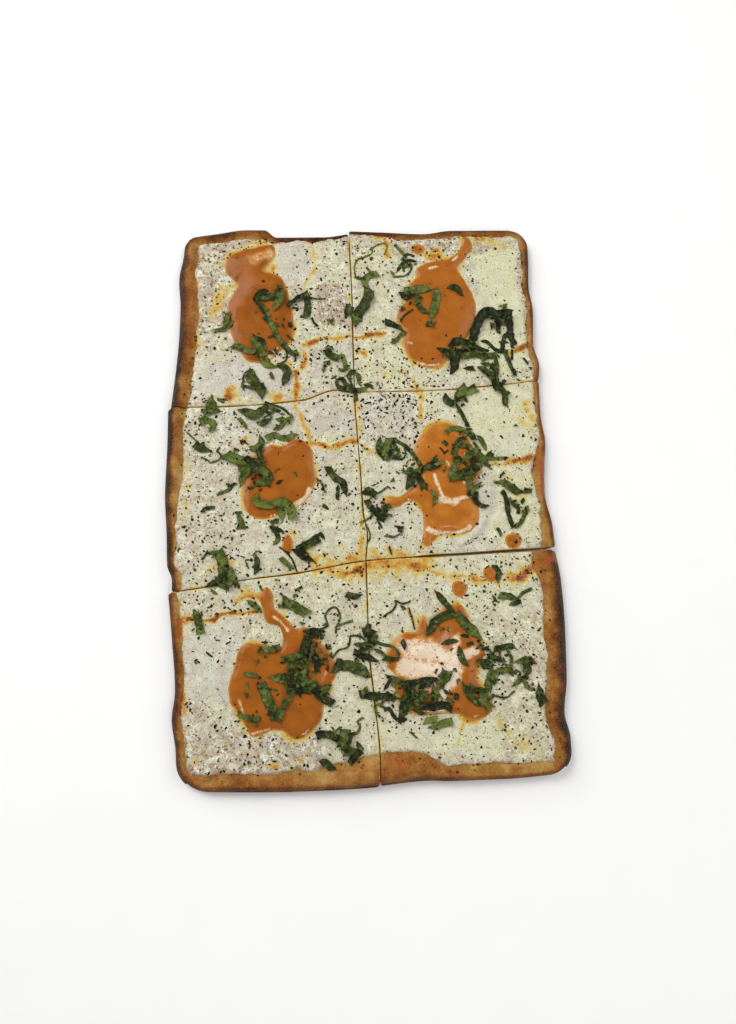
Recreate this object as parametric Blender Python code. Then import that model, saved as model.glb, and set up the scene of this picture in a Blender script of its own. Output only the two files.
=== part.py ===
"""A rectangular sheet pizza, cut in six, with melted white cheese, dollops of pink tomato and cream sauce,
shredded basil leaves and dried herb flakes.

Everything is modelled in millimetres: X to the right, Y away and Z up, measured from where the two cuts
cross near the middle. The last step turns it into metres and puts the origin under the middle of the
footprint.
"""

import math

import bmesh
import bpy
import numpy as np
from mathutils import Matrix, Vector, noise
from mathutils.bvhtree import BVHTree
from mathutils.geometry import delaunay_2d_cdt

MM = 0.001
MIDDLE = (-3.72, 0.50)  # the middle of the footprint

DOUGH = 9.0  # top of the dough under the cheese
CHEESE = 2.9  # usual thickness of the melted cheese
CHEESE_EDGE = 1.1  # thickness where the cheese runs out on the rim
GAP = 0.3  # left between pieces that touch
CUT = 0.8  # width of a knife cut
SIDE_BULGE = 4.2  # height at which the crust's side stands out most
BOTTOM_INSET = 2.2  # how far the crust's side curls in at the floor
TOP_INSET = 1.0  # and at its upper edge
RIM_RISE = (1.2, 0.22)  # height of the rim's crest over the dough: a fixed part, and a share of its width
RIM_SHAPE = ((0.0, -0.25), (0.3, 1.0), (0.65, 0.75), (1.0, 0.0))  # across the rim, outer edge to cheese
CELLS = 8

SAUCE = 2.5  # depth of a dollop away from its edge
SAUCE_EDGE = 0.7
SAUCE_ROUNDING = 4.0
SAUCE_STEP = 10.5  # spacing of the points along a dollop's edge
SAUCE_INSET = 2.8

LEAF = 0.8  # thickness of a shred of basil
SHRED_STEP = 10.0  # length of one facet along a shred
WIDE_SHRED = 9.5  # from this width up, a shred has a fold along its middle
BITE = 0.4  # how deep crossing shreds sink into each other
MOUND_SIDES = 6
CURL = 2.4  # how far a shred's free end lifts

BAKED_DEPTH = 0.7  # how far a shred that is baked in lies in the cheese, and how far it stands out
FLAKES = 5  # largest herb flakes on each slice
FLAKE_SIZE = (2.0, 3.2)
SEED = 11

COLOURS = {
    "crust": (0.50, 0.28, 0.11),
    "cheese": (0.61, 0.57, 0.42),
    "sauce": (0.43, 0.14, 0.03),
    "basil": (0.07, 0.09, 0.03),
}
ROUGHNESS = {"crust": 0.75, "cheese": 0.45, "sauce": 0.25, "basil": 0.5}

# The cuts. The long one is x for each y, and the two short ones are y for each x.
LONG_CUT = (
    (-240, 3), (-215, 4), (-170, 1), (-130, -2), (-62, -2), (-40, 0), (-20, -3), (10, -4), (84, -7),
    (130, -7), (160, -6.5), (242, -8),
)
BACK_CUT = (
    (-168, 73), (-120, 73), (-53, 77), (-22, 86), (-7, 84), (60, 84), (98, 86.5), (130, 89), (160, 93),
)
FRONT_CUT = (
    (-168, -83), (-140, -80), (-100, -74), (-60, -70), (0, -61), (45, -59), (90, -57.5), (160, -55),
)
FRONT_GAP = ((-168, 0.8), (30, 0.8), (60, 2.4), (130, 2.4), (160, 3.2))

# Outer sides: left and right ones are x for each y, front and back ones are y for each x.
OUTER = {
    "back_left": {
        "left": (
            (72, -161), (100, -158), (140, -155), (165, -154.5), (192, -156), (215, -152.5), (236, -151),
        ),
        "back": (
            (-156, 230), (-125, 234.5), (-100, 238), (-83, 238), (-72, 230.5), (-30, 230.5), (-4, 234),
        ),
    },
    "back_right": {
        "back": ((-12, 236.5), (20, 235), (60, 233), (85, 236), (135, 236), (156, 229)),
        "right": (
            (88, 151), (108, 153.5), (125, 150), (160, 152), (180, 150), (205, 151.5), (240, 152.5),
        ),
    },
    "middle_left": {
        "left": ((-84, -157), (-72, -157), (-60, -161), (-35, -162), (0, -164), (45, -163), (78, -163)),
    },
    "middle_right": {
        "right": ((-58, 154), (-35, 153), (-10, 149), (15, 150.5), (38, 153), (60, 151), (96, 152)),
    },
    "front_left": {
        "left": ((-240, -150), (-205, -151.5), (-180, -155), (-160, -153), (-120, -156), (-80, -160)),
        "front": ((-155, -233), (-110, -235.5), (-60, -237), (-30, -237), (8, -236)),
    },
    "front_right": {
        "front": ((-4, -236), (40, -233), (60, -234), (100, -234), (156, -231)),
        "right": (
            (-236, 153), (-205, 153), (-188, 150), (-160, 154), (-100, 156.5), (-80, 156), (-54, 153),
        ),
    },
}
# Width of the bare rim outside the cheese, along each outer side.
RIMS = {
    "back_left": {
        "left": ((76, 13), (120, 14), (180, 15), (232, 12)),
        "back": ((-152, 8), (-95, 8), (-75, 4), (-50, 4), (-8, 2.5)),
    },
    "back_right": {
        "back": ((-7, 2.5), (25, 2.5), (38, 6), (85, 5), (150, 6)),
        "right": ((92, 3), (110, 4), (140, 5), (232, 5)),
    },
    "middle_left": {"left": ((-80, 6), (-50, 5), (-20, 7), (20, 11), (73, 12))},
    "middle_right": {"right": ((-52, 10), (-25, 5.5), (5, 9), (35, 5), (60, 3.2), (92, 3))},
    "front_left": {
        "left": ((-236, 6), (-150, 5.5), (-84, 6)),
        "front": ((-150, 12), (-80, 14.5), (-45, 16), (-20, 22), (0, 24)),
    },
    "front_right": {
        "front": ((0, 24), (38, 22), (60, 12), (118, 11), (150, 10)),
        "right": ((-232, 12), (-170, 15), (-100, 14.5), (-57, 19)),
    },
}
# Radius of each slice's outer corner.
CORNERS = {"back_left": 9, "back_right": 9, "front_left": 22, "front_right": 17}
SMALL_CORNER = 2.5  # radius where an outer side meets a cut
DOUGH_EXTRA = {"back_left": 0.5, "middle_right": 0.3, "front_right": 0.6, "middle_left": 0.2}

# Edges of the dollops of sauce, in order round each.
SAUCES = {
    "sauce_back_left": (
        (-74, 194), (-66, 188), (-62, 172), (-58, 150), (-59, 133), (-67, 124), (-84, 112), (-98, 114),
        (-105, 124), (-111, 136), (-115, 158), (-112, 172), (-106, 184), (-112, 191), (-117, 200),
        (-114, 211), (-104, 217), (-88, 220), (-76, 222), (-73, 214), (-79, 204), (-84, 197),
    ),
    "sauce_back_right": (
        (56, 190), (62, 198), (68, 204), (80, 207), (89, 213), (93, 222), (94, 229), (100, 228), (102, 219),
        (97, 209), (89, 201), (89, 193), (95, 184), (100, 172), (102, 158), (99, 145), (92, 132), (82, 121),
        (74, 111), (64, 105), (53, 106), (43, 113), (37, 124), (38, 138), (33, 148), (33, 158), (41, 168),
        (44, 182),
    ),
    "sauce_middle_left": (
        (-80, 38), (-68, 37), (-58, 43), (-49, 40), (-44, 30), (-42, 12), (-44, 0), (-50, -9), (-57, -14),
        (-66, -13), (-73, -21), (-82, -24), (-93, -22), (-100, -14), (-101, -2), (-99, 12), (-97, 26),
        (-88, 31),
    ),
    "sauce_middle_right": (
        (52, 48), (58, 53), (66, 55), (74, 53), (81, 47), (89, 37), (95, 27), (97, 14), (92, 2), (90, -10),
        (93, -20), (92, -30), (85, -38), (76, -41), (60, -41), (54, -46), (49, -51), (45, -47), (46, -36),
        (46, -22), (41, -14), (34, -12), (27, -17), (20, -18), (15, -14), (19, -9), (28, -9), (35, -4),
        (42, 1), (46, 8), (45, 16), (41, 24), (42, 33), (46, 42),
    ),
    "sauce_front_left": (
        (-103, -127), (-95, -124), (-84, -126), (-73, -129), (-69, -120), (-74, -112), (-82, -109),
        (-86, -98), (-89, -88), (-83, -81), (-78, -86), (-76, -98), (-68, -105), (-60, -113), (-51, -114), (-43, -121),
        (-37, -129), (-31, -138), (-29, -149), (-33, -160), (-38, -170), (-41, -183), (-47, -192),
        (-60, -198), (-75, -191), (-92, -195), (-99, -188), (-103, -180), (-111, -168), (-112, -155), (-108, -142),
    ),
    "sauce_front_right": (
        (24, -121), (30, -119), (36, -119), (39, -110), (44, -108), (47, -118), (51, -115), (54, -106),
        (63, -101), (72, -99), (77, -106), (80, -116), (87, -127), (90, -138), (84, -146), (83, -158),
        (90, -169), (93, -180), (84, -188), (72, -188), (63, -183), (46, -184), (31, -182), (21, -173),
        (17, -161), (18, -153), (12, -146), (13, -134), (18, -127),
    ),
}
# Round drops of sauce: middle, half width, half depth.
DROPS = {
    "sauce_drop_back_right": (54, 217, 6, 5.5),
    "sauce_drop_middle_left": (-65, -46, 4.5, 7.5),
    "sauce_drop_middle_right": (120, -48, 7, 6.3),
    "sauce_drop_front_right": (99, -75, 6, 6.5),
    "sauce_drop_front": (73, -86, 6.3, 6.5),
}

# Basil, one entry a bundle. "core" is a low mound under a deep pile: middle, half sizes and height.
# Each shred is its width and the points it passes, from one end to the other.
BASIL = {
    "basil_pile_back_left": {"core": (), "shreds": (
        (5, (-91, 166), (-88, 173), (-83, 176), (-76, 173)),
        (7, (-66, 178), (-70, 168), (-75, 158)),
        (5, (-88, 168), (-80, 170), (-74, 172), (-66, 174)),
        (5, (-90, 169), (-83, 160), (-79, 149), (-72, 135), (-65, 124), (-54, 119)),
    )},
    "basil_back_left_leaf": {"core": ((-86, 124, 7, 6, 2.6),), "shreds": (
        (5, (-111, 127), (-104, 125), (-97, 121), (-88, 122)),
        (8, (-91, 135), (-86, 129), (-82, 121)),
        (6, (-92, 132), (-88, 123), (-83, 115)),
        (6.5, (-86, 120), (-83, 112), (-77, 107), (-70, 108)),
        (7, (-72, 109), (-65, 104), (-66, 97), (-68, 90)),
    )},
    "basil_back_left_front": {"core": (), "shreds": (
        (8, (-97, 103), (-92, 95), (-87, 88), (-83, 82)),
        (3.5, (-103, 91), (-96, 89), (-88, 87)),
        (4.5, (-100, 99), (-95, 91)),
    )},
    "basil_back_left_strip": {"core": (), "shreds": (
        (4.5, (-63, 162), (-57, 168), (-49, 173), (-41, 169)),
        (7, (-48, 175), (-45, 164), (-47, 152)),
    )},
    "basil_back_left_fold": {"core": (), "shreds": (
        (6.5, (-31, 123), (-27, 117), (-17, 112)),
        (4, (-17, 120), (-15, 111), (-15, 101)),
    )},
    "basil_back_cut": {"core": (), "shreds": (
        (3.5, (-22, 97), (-20, 90), (-13, 86), (-6, 86)),
        (4, (-19, 98), (-13, 91), (-7, 87)),
        (5, (-22, 87), (-12, 85.5), (-3, 85), (4, 88), (10, 91)),
        (4.5, (-13, 96), (-8, 101), (-4, 99), (-4, 86)),
        (3.5, (-7, 88), (-6, 81), (-6, 75)),
    )},
    "basil_back_right_leaf": {"core": (), "shreds": (
        (9.5, (-7, 147), (-1, 156), (4, 164), (8, 173), (6, 182)),
        (6, (5, 178), (6, 185), (10, 191), (17, 193)),
        (2.8, (7, 201), (10, 195), (12, 189)),
    )},
    "basil_back_right_tangle": {"core": (), "shreds": (
        (2.6, (33, 195), (38, 202), (45, 205), (52, 205)),
        (2.6, (34, 222), (39, 214), (41, 205), (40, 192)),
        (2.4, (30, 190), (40, 192), (46, 196), (47, 204)),
    )},
    "basil_pile_back_right": {"core": ((55, 173, 9, 5, 2.6),), "shreds": (
        (9, (39, 175), (47, 176), (55, 177), (64, 178)),
        (7, (65, 180), (67, 167), (64, 157), (61, 146)),
        (5, (50, 174), (52, 163), (58, 153)),
        (4, (36, 175), (40, 170), (48, 172)),
    )},
    "basil_back_right_dab": {"core": (), "shreds": ((5.5, (77, 178), (83, 178), (91, 171)),)},
    "basil_back_right_fork": {"core": (), "shreds": (
        (5, (21, 147), (29, 144), (38, 139)),
        (4.5, (38, 141), (33, 133), (27, 127)),
    )},
    "basil_back_right_heap": {
        "core": ((85, 119, 12, 6, 3.2), (122, 151, 11, 6, 3.2)),
        "shreds": (
            (6.5, (66, 122), (72, 119), (80, 114)),
            (9.5, (81, 121), (80, 110), (77, 98)),
            (6, (76, 124), (84, 127), (92, 126), (100, 121)),
            (8.5, (96, 124), (99, 137), (104, 148), (111, 155), (120, 158)),
            (9, (112, 152), (121, 152), (128, 155), (134, 156)),
            (7, (116, 146), (125, 145), (131, 151)),
            (6, (129, 155), (130, 142), (131, 131), (133, 122)),
            (4.5, (128, 138), (125, 129), (122, 118)),
            (3.6, (102, 126), (108, 128), (114, 122), (121, 118), (132, 119)),
            (5.5, (84, 113), (95, 115), (106, 114), (118, 114)),
            (4, (123, 120), (126, 112), (130, 104), (132, 95)),
            (6.5, (99, 105), (107, 101), (116, 92)),
            (5, (117, 115), (117, 103), (114, 92)),
            (5, (111, 94), (117, 86), (121, 78), (121, 68)),
        ),
    },
    "basil_middle_right_leaf": {"core": (), "shreds": (
        (6, (71, 81), (71, 74), (79, 71)),
        (8.5, (76, 71), (82, 78), (89, 87)),
        (5, (80, 77), (90, 81), (98, 84)),
        (3.4, (85, 80), (90, 71)),
        (3, (79, 72), (84, 61), (88, 50)),
    )},
    "basil_pile_middle_right": {
        "core": ((75, 14, 8, 8, 3.4), (95, 24, 8, 7, 3.2), (88, -3, 5, 9, 2.6)),
        "shreds": (
            (5, (67, 45), (75, 48), (83, 48), (90, 43), (93, 38)),
            (4.5, (95, 43), (99, 36), (101, 26)),
            (3.6, (97, 22), (108, 21.5), (121, 22.5)),
            (4, (98, 31), (104, 30), (101, 23)),
            (8, (86, 32), (93, 27), (99, 20), (105, 15)),
            (5.5, (84, 48), (77, 34), (74, 22)),
            (6, (76, 28), (76, 18), (71, 11), (69, 4)),
            (7, (69, 3), (77, 7), (85, 11), (93, 12)),
            (6.5, (87, 21), (92, 17), (93, 9)),
            (6, (90, 12), (87, 2), (86, -6), (86, -12)),
            (4.5, (87, -3), (92, -14), (99, -21)),
        ),
    },
    "basil_pile_middle": {"core": (), "shreds": (
        (9, (13, 43), (12, 34), (13, 25)),
        (8, (23, 42), (19, 33), (17, 22)),
        (3.8, (22, 43), (32, 36), (41, 27), (46, 17), (46, 8)),
        (3, (24, 39), (27, 30), (20, 30)),
        (4, (16, 30), (25, 26), (30, 24)),
        (7.5, (41, 13), (51, 15), (61, 18)),
        (4, (29, 13), (37, 12), (44, 12)),
        (8, (42, 12), (38, 5), (33, -3)),
        (5.5, (43, 10), (47, 2), (54, -6), (55, -18)),
    )},
    "basil_middle_cross": {"core": (), "shreds": (
        (5, (0, -10), (3, -17), (8, -23)),
        (9, (7, -19), (11, -24), (16, -27)),
        (5, (12, -20), (20, -17)),
        (2.6, (7, -23), (0, -27), (-6, -30)),
        (2.4, (8, -26), (12, -35)),
    )},
    "basil_middle_left_bend": {"core": (), "shreds": ((5.5, (-29, 18), (-28, 11), (-20, 5), (-18, -7)),)},
    "basil_middle_right_plank": {"core": (), "shreds": ((6.5, (110, 3), (118, -1), (127, -9)),)},
    "basil_middle_right_fork": {"core": (), "shreds": (
        (4, (113, -7), (117, -15), (117, -25), (120, -38)),
        (5, (116, -14), (126, -19)),
        (4, (119, -36), (126, -33), (131, -27), (134, -21)),
    )},
    "basil_pile_middle_left": {"core": ((-88, 21, 10, 8, 3.4),), "shreds": (
        (7, (-115, 31), (-107, 25), (-98, 24), (-89, 22)),
        (9.5, (-99, 21), (-90, 19), (-82, 14), (-77, 7)),
        (5.5, (-105, 17), (-96, 17), (-86, 14)),
        (6, (-88, 46), (-89, 35), (-86, 22)),
        (5.5, (-102, 3), (-100, 11), (-94, 21)),
        (5.5, (-90, 5), (-83, 6), (-77, 9)),
    )},
    "basil_middle_left_sunk": {"core": (), "shreds": (
        (6, (-90, -2), (-90, -10), (-81, -13), (-71, -12), (-64, -16), (-62, -25)),
        (6, (-72, -13), (-70, -20), (-72, -26)),
    )},
    "basil_middle_left_fork": {"core": (), "shreds": (
        (8, (-105, 68), (-97, 66), (-89, 66), (-83, 73)),
        (3, (-85, 70), (-77, 73), (-70, 70), (-62, 62)),
        (7, (-90, 58), (-84, 57), (-78, 61)),
        (3, (-86, 57), (-80, 64), (-74, 72)),
        (4.5, (-75, 50), (-69, 55), (-68, 61), (-60, 61)),
    )},
    "basil_middle_left_clump": {"core": (), "shreds": (
        (10, (-129, 79), (-125, 67)),
        (6, (-136, 67), (-127, 70), (-119, 78)),
    )},
    "basil_middle_left_curl": {"core": (), "shreds": (
        (6.5, (-138, 60), (-131, 61), (-126, 57), (-127, 51)),
    )},
    "basil_middle_left_angle": {"core": (), "shreds": (
        (4, (-58, -50), (-48, -45), (-39, -38)),
        (3.6, (-41, -36), (-36, -44)),
        (9, (-58, -48), (-51, -57), (-46, -62)),
    )},
    "basil_front_cut_left": {"core": ((-117, -72, 6, 8, 2.8),), "shreds": (
        (8, (-129, -51), (-121, -52), (-114, -54)),
        (10, (-118, -51), (-116, -61), (-118, -71), (-118, -79)),
        (7, (-118, -71), (-124, -76), (-130, -78)),
        (6, (-126, -79), (-123, -84)),
        (6, (-108, -66), (-109, -74), (-117, -78)),
        (4, (-110, -71), (-106, -75), (-104, -80)),
    )},
    "basil_front_left_plank": {"core": (), "shreds": ((7, (-141, -97), (-138, -105), (-134, -115)),)},
    "basil_front_left_leaf": {"core": (), "shreds": ((7.5, (-68, -90), (-60, -96), (-50, -104)),)},
    "basil_pile_front_left": {
        "core": ((-54, -152, 14, 12, 3.6), (-80, -168, 6, 8, 2.6)),
        "shreds": (
            (8, (-48, -116), (-50, -127), (-53, -138)),
            (5.5, (-71, -138), (-62, -136), (-54, -135)),
            (7, (-66, -143), (-58, -142), (-49, -141)),
            (6, (-49, -132), (-43, -142), (-48, -156)),
            (7, (-80, -152), (-68, -153), (-54, -152)),
            (9, (-68, -160), (-58, -160), (-47, -161)),
            (8, (-60, -151), (-52, -156), (-43, -163)),
            (6.5, (-54, -157), (-41, -167), (-31, -173)),
            (5, (-34, -158), (-38, -164), (-44, -166)),
            (8.5, (-87, -154), (-83, -165), (-78, -175), (-75, -184)),
            (5, (-64, -163), (-70, -174), (-74, -183)),
        ),
    },
    "basil_front_green_leaf": {"core": (), "shreds": (
        (9.5, (-30, -144), (-20, -145), (-11, -148), (-3, -154)),
    )},
    "basil_front_left_leaves": {"core": (), "shreds": (
        (6, (-45, -197), (-38, -196), (-28, -199)),
        (8, (-22, -192), (-24, -199), (-26, -207)),
        (9, (-27, -202), (-20, -207), (-12, -210)),
        (5.5, (-20, -218), (-16, -213), (-12, -206)),
        (4.5, (-16, -202), (-11, -204), (-9, -209)),
    )},
    "basil_front_spider": {"core": (), "shreds": (
        (7, (-6, -117), (0, -118), (4, -121)),
        (4, (3, -119), (1, -127), (-4, -132), (-13, -135)),
        (4, (-15, -129), (-6, -129), (3, -127)),
        (5, (-14, -133), (-6, -137), (3, -141)),
        (3, (0, -127), (9, -129), (17, -132), (22, -138)),
        (3, (-2, -133), (7, -135), (12, -139), (21, -141)),
    )},
    "basil_pile_front_right": {
        "core": ((28, -170, 7, 11, 3.4), (50, -163, 9, 7, 3.2)),
        "shreds": (
            (6.5, (-10, -166), (0, -167), (10, -168), (22, -170)),
            (5.5, (10, -151), (17, -156), (24, -160)),
            (9, (29, -160), (27, -170), (24, -179), (21, -187)),
            (8, (20, -159), (32, -162), (44, -159), (52, -157)),
            (7, (34, -163), (31, -172), (27, -180)),
            (6, (41, -165), (37, -171), (33, -177)),
            (7, (47, -162), (48, -170), (47, -178)),
            (6, (49, -163), (56, -158), (62, -151)),
            (5.5, (31, -178), (45, -178), (60, -179)),
            (3.6, (7, -179), (13, -179), (19, -186), (26, -186)),
        ),
    },
    "basil_front_right_leaves": {"core": (), "shreds": (
        (7, (38, -191), (43, -190), (50, -189)),
        (6.5, (42, -194), (50, -191), (60, -190)),
    )},
    "basil_front_right_heap": {
        "core": ((89, -146, 7, 5, 2.6), (88, -173, 8, 5, 3.0)),
        "shreds": (
            (6.5, (71, -160), (75, -168), (81, -175), (88, -177)),
            (6.5, (97, -147), (93, -158), (89, -174)),
            (7.5, (84, -170), (89, -174), (97, -175)),
            (10, (82, -145), (89, -146), (97, -147)),
            (5.5, (90, -141), (98, -136), (105, -134), (114, -133)),
            (3.2, (108, -135), (111, -142), (110, -149), (104, -153), (96, -155)),
        ),
    },
    "basil_front_right_arch": {"core": (), "shreds": (
        (6.5, (53, -87), (58, -96), (66, -105), (75, -114), (88, -127)),
        (6, (44, -123), (50, -115), (57, -109), (68, -107)),
    )},
    "basil_front_right_chips": {"core": (), "shreds": (
        (6.5, (114, -145), (121, -145), (129, -144)),
        (6, (120, -144), (124, -155), (120, -160)),
        (4.5, (122, -156), (116, -161), (110, -164)),
        (3.6, (119, -158), (122, -165), (127, -168)),
    )},
}

# Shreds so small that they are baked into the cheese, each with its slice.
BAKED_IN = {
    "back_left": (
        (4, (-127, 140), (-117, 143)), (3.4, (-33, 111), (-27, 110)), (3, (-32, 108), (-33, 101)),
        (5.5, (-29, 151), (-24, 146)), (2.6, (-41, 152), (-38, 145)), (6.8, (-9, 161), (-13, 152)),
    ),
    "middle_left": (
        (3.4, (-105, 62), (-98, 52)), (6.5, (-141, 39), (-130, 33)), (3.4, (-113, 5), (-122, -3)),
        (5.5, (-106, -20), (-100, -31)), (3.4, (-134, -17), (-124, -14)),
        (4.5, (-78, -32), (-73, -38), (-76, -46)), (5.5, (-90, -55), (-90, -68)), (5, (-69, -59), (-61, -65)),
    ),
    "middle_right": ((6, (23, -35), (28, -37)), (2.4, (14, -41), (22, -43)), (6.5, (-1, -4), (7, -6))),
    "front_left": ((5, (-99, -90), (-86, -99)), (4.5, (-18, -89), (-7, -89))),
    "front_right": (
        (5.5, (104, -93), (112, -93), (120, -96)), (4, (112, -101), (120, -99)),
        (6.5, (132, -165), (133, -177)), (4, (24, -98), (29, -101)),
    ),
}

even = np.vectorize(lambda x, y, length, seed: noise.noise(Vector((x / length, y / length, seed))))


def smooth_line(points):
    """A function that follows the (along, across) points without corners."""
    along, across = np.array(points, float).T
    rise = np.diff(across) / np.diff(along)
    turn = rise[1:] * rise[:-1] > 0
    inner = np.where(turn, 2 * rise[1:] * rise[:-1] / np.where(turn, rise[1:] + rise[:-1], 1), 0)
    slope = np.concatenate([rise[:1], inner, rise[-1:]])

    def value(t):
        t = np.clip(t, along[0], along[-1])
        i = np.clip(np.searchsorted(along, t) - 1, 0, len(along) - 2)
        step = along[i + 1] - along[i]
        s = (t - along[i]) / step
        near = (1 + 2 * s) * (1 - s) ** 2 * across[i] + s * (1 - s) ** 2 * step * slope[i]
        return near + s * s * (3 - 2 * s) * across[i + 1] + s * s * (s - 1) * step * slope[i + 1]

    return value


def smooth_path(points, step, closed=False):
    """Evenly spaced points on a curve through the given ones."""
    knots = np.array(points, float)
    if closed:
        ring = np.vstack([knots[-1:], knots, knots[:2]])
    else:
        ring = np.vstack([2 * knots[0] - knots[1], knots, 2 * knots[-1] - knots[-2]])
    t = np.linspace(0, 1, 12, endpoint=False)[:, None]
    fine = []
    for a, b, c, d in zip(ring, ring[1:], ring[2:], ring[3:]):
        bend = (2 * a - 5 * b + 4 * c - d) * t**2 + (3 * b - a - 3 * c + d) * t**3
        fine.append(0.5 * (2 * b + (c - a) * t + bend))
    fine = np.vstack(fine + [ring[-2:-1]])
    length = np.concatenate([[0], np.cumsum(np.linalg.norm(np.diff(fine, axis=0), axis=1))])
    count = max(1 if len(knots) == 2 else 2, round(length[-1] / step))
    at = np.linspace(0, length[-1], count + 1)[: -1 if closed else None]
    return np.stack([np.interp(at, length, fine[:, k]) for k in range(2)], 1)


def distance_to_path(points, path):
    """Distance from each point to the nearest of the path's straight pieces."""
    points, a, b = np.asarray(points, float)[:, None], path[:-1], path[1:]
    run = b - a
    t = np.clip(((points - a) * run).sum(-1) / (run**2).sum(-1), 0, 1)
    return np.linalg.norm(points - (a + t[..., None] * run), axis=-1).min(1)


def inside(points, outline):
    """Whether each point lies within the closed outline."""
    x, y = np.asarray(points, float).T
    found = np.zeros(len(x), bool)
    for (ax, ay), (bx, by) in zip(outline, np.roll(outline, -1, 0)):
        crosses = (ay > y) != (by > y)
        with np.errstate(divide="ignore", invalid="ignore"):
            found ^= crosses & (x < (bx - ax) * (y - ay) / (by - ay) + ax)
    return found


def extrude_sheets(bm, sheets):
    """Turn an open sheet into a closed block whose levels are the given lists of points, lowest first."""
    place = bm.verts.layers.int["place"]
    verts, faces = bm.verts[:], bm.faces[:]
    for level, sheet in enumerate(sheets):
        if level:
            made = bmesh.ops.extrude_face_region(bm, geom=faces)["geom"]
            if level > 1:
                bmesh.ops.delete(bm, geom=faces, context="FACES")
            verts = [item for item in made if isinstance(item, bmesh.types.BMVert)]
            faces = [item for item in made if isinstance(item, bmesh.types.BMFace)]
        for vert in verts:
            vert.co = sheet[vert[place]]
    bmesh.ops.recalc_face_normals(bm, faces=bm.faces[:])
    if bm.calc_volume(signed=True) < 0:
        bmesh.ops.reverse_faces(bm, faces=bm.faces[:])
    return bm


def grid_block(sheets):
    """A closed block between sheets, each an array of points (columns, rows, 3)."""
    columns, rows = sheets[0].shape[:2]
    bm = bmesh.new()
    bmesh.ops.create_grid(bm, x_segments=columns - 1, y_segments=rows - 1, size=1)
    bmesh.ops.triangulate(bm, faces=bm.faces[:])
    place = bm.verts.layers.int.new("place")
    for vert in bm.verts:
        column, row = round((vert.co.x + 1) / 2 * (columns - 1)), round((vert.co.y + 1) / 2 * (rows - 1))
        vert[place] = column * rows + row
    return extrude_sheets(bm, [sheet.reshape(-1, 3) for sheet in sheets])


def outline_block(points, edge_count, heights):
    """A closed block over a plan whose first edge_count points run round its edge."""
    edge = [(i, (i + 1) % edge_count) for i in range(edge_count)]
    flat = [Vector(p) for p in points]
    verts, _, faces, *_ = delaunay_2d_cdt(flat, edge, [], 1, 1e-4)
    bm = bmesh.new()
    place = bm.verts.layers.int.new("place")
    made = [bm.verts.new((*v, 0)) for v in verts]
    for index, vert in enumerate(made):
        vert[place] = index
    for face in faces:
        bm.faces.new([made[i] for i in face])
    plan = np.array([tuple(v) for v in verts])
    return extrude_sheets(bm, [np.column_stack([plan, z]) for z in heights(plan)])


def box_of(bm):
    xyz = np.array([tuple(v.co) for v in bm.verts])
    return xyz.min(0), xyz.max(0)


class Ground:
    """What is already in place. It gives the height on which the next piece lies."""

    def __init__(self):
        self.trees = []

    def add(self, bm):
        self.trees.append((BVHTree.FromBMesh(bm), *box_of(bm)))

    def height(self, x, y, reach):
        """The highest point under a disc of the given radius."""
        spots = [(x, y)]
        for share in (0.5, 1.0) if reach else ():
            for angle in np.linspace(0, 2 * math.pi, 8, endpoint=False):
                spots.append((x + share * reach * math.cos(angle), y + share * reach * math.sin(angle)))
        best = -1.0
        for tree, low, high in self.trees:
            if not (low[0] - reach < x < high[0] + reach and low[1] - reach < y < high[1] + reach):
                continue
            for spot in spots:
                hit = tree.ray_cast(Vector((*spot, 99)), Vector((0, 0, -1)))[0]
                if hit:
                    best = max(best, hit.z)
        return best

    def heights(self, plan, reach):
        return np.array([self.height(x, y, reach) for x, y in plan])


def material(kind):
    found = bpy.data.materials.get(kind)
    if found:
        return found
    made = bpy.data.materials.new(kind)
    made.use_nodes = True
    shader = made.node_tree.nodes["Principled BSDF"]
    shader.inputs["Base Color"].default_value = (*COLOURS[kind], 1)
    shader.inputs["Roughness"].default_value = ROUGHNESS[kind]
    return made


def make_object(name, bm, kind):
    """Put a bmesh in the scene as an object. It is still in millimetres."""
    bmesh.ops.triangulate(bm, faces=bm.faces[:])
    mesh = bpy.data.meshes.new(name)
    bm.to_mesh(mesh)
    mesh.materials.append(material(kind))
    obj = bpy.data.objects.new(name, mesh)
    bpy.context.scene.collection.objects.link(obj)
    return obj


def unite(obj, blocks, solver="EXACT"):
    """Fuse the blocks with the object, and keep the one body that holds most of it."""
    group = bpy.data.collections.new("joined")
    bpy.context.scene.collection.children.link(group)
    for number, bm in enumerate(blocks):
        mesh = bpy.data.meshes.new(f"joined_{number}")
        bm.to_mesh(mesh)
        group.objects.link(bpy.data.objects.new(mesh.name, mesh))
    union = obj.modifiers.new("union", "BOOLEAN")
    union.operation = "UNION"
    union.operand_type = "COLLECTION"
    union.solver = solver
    union.collection = group
    bpy.context.view_layer.update()
    fused = bpy.data.meshes.new_from_object(obj.evaluated_get(bpy.context.evaluated_depsgraph_get()))
    obj.modifiers.remove(union)
    obj.data = fused
    for helper in list(group.objects):
        bpy.data.objects.remove(helper)
    bpy.data.collections.remove(group)
    bm = bmesh.new()
    bm.from_mesh(fused)
    drop_scraps(bm, obj.name)
    bm.to_mesh(fused)
    return bm


def drop_scraps(bm, name):
    left, parts = set(bm.verts), []
    while left:
        part, edge = set(), [left.pop()]
        while edge:
            vert = edge.pop()
            part.add(vert)
            near = {e.other_vert(vert) for e in vert.link_edges} & left
            left -= near
            edge.extend(near)
        parts.append(part)
    parts.sort(key=len, reverse=True)
    loose = [vert for part in parts[1:] for vert in part]
    if loose:
        for part in parts[1:]:
            xyz = np.array([tuple(v.co) for v in part])
            print(f"{name}: dropped {len(part)} points", xyz.min(0).round(0), xyz.max(0).round(0))
        bmesh.ops.delete(bm, geom=loose, context="VERTS")


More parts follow.
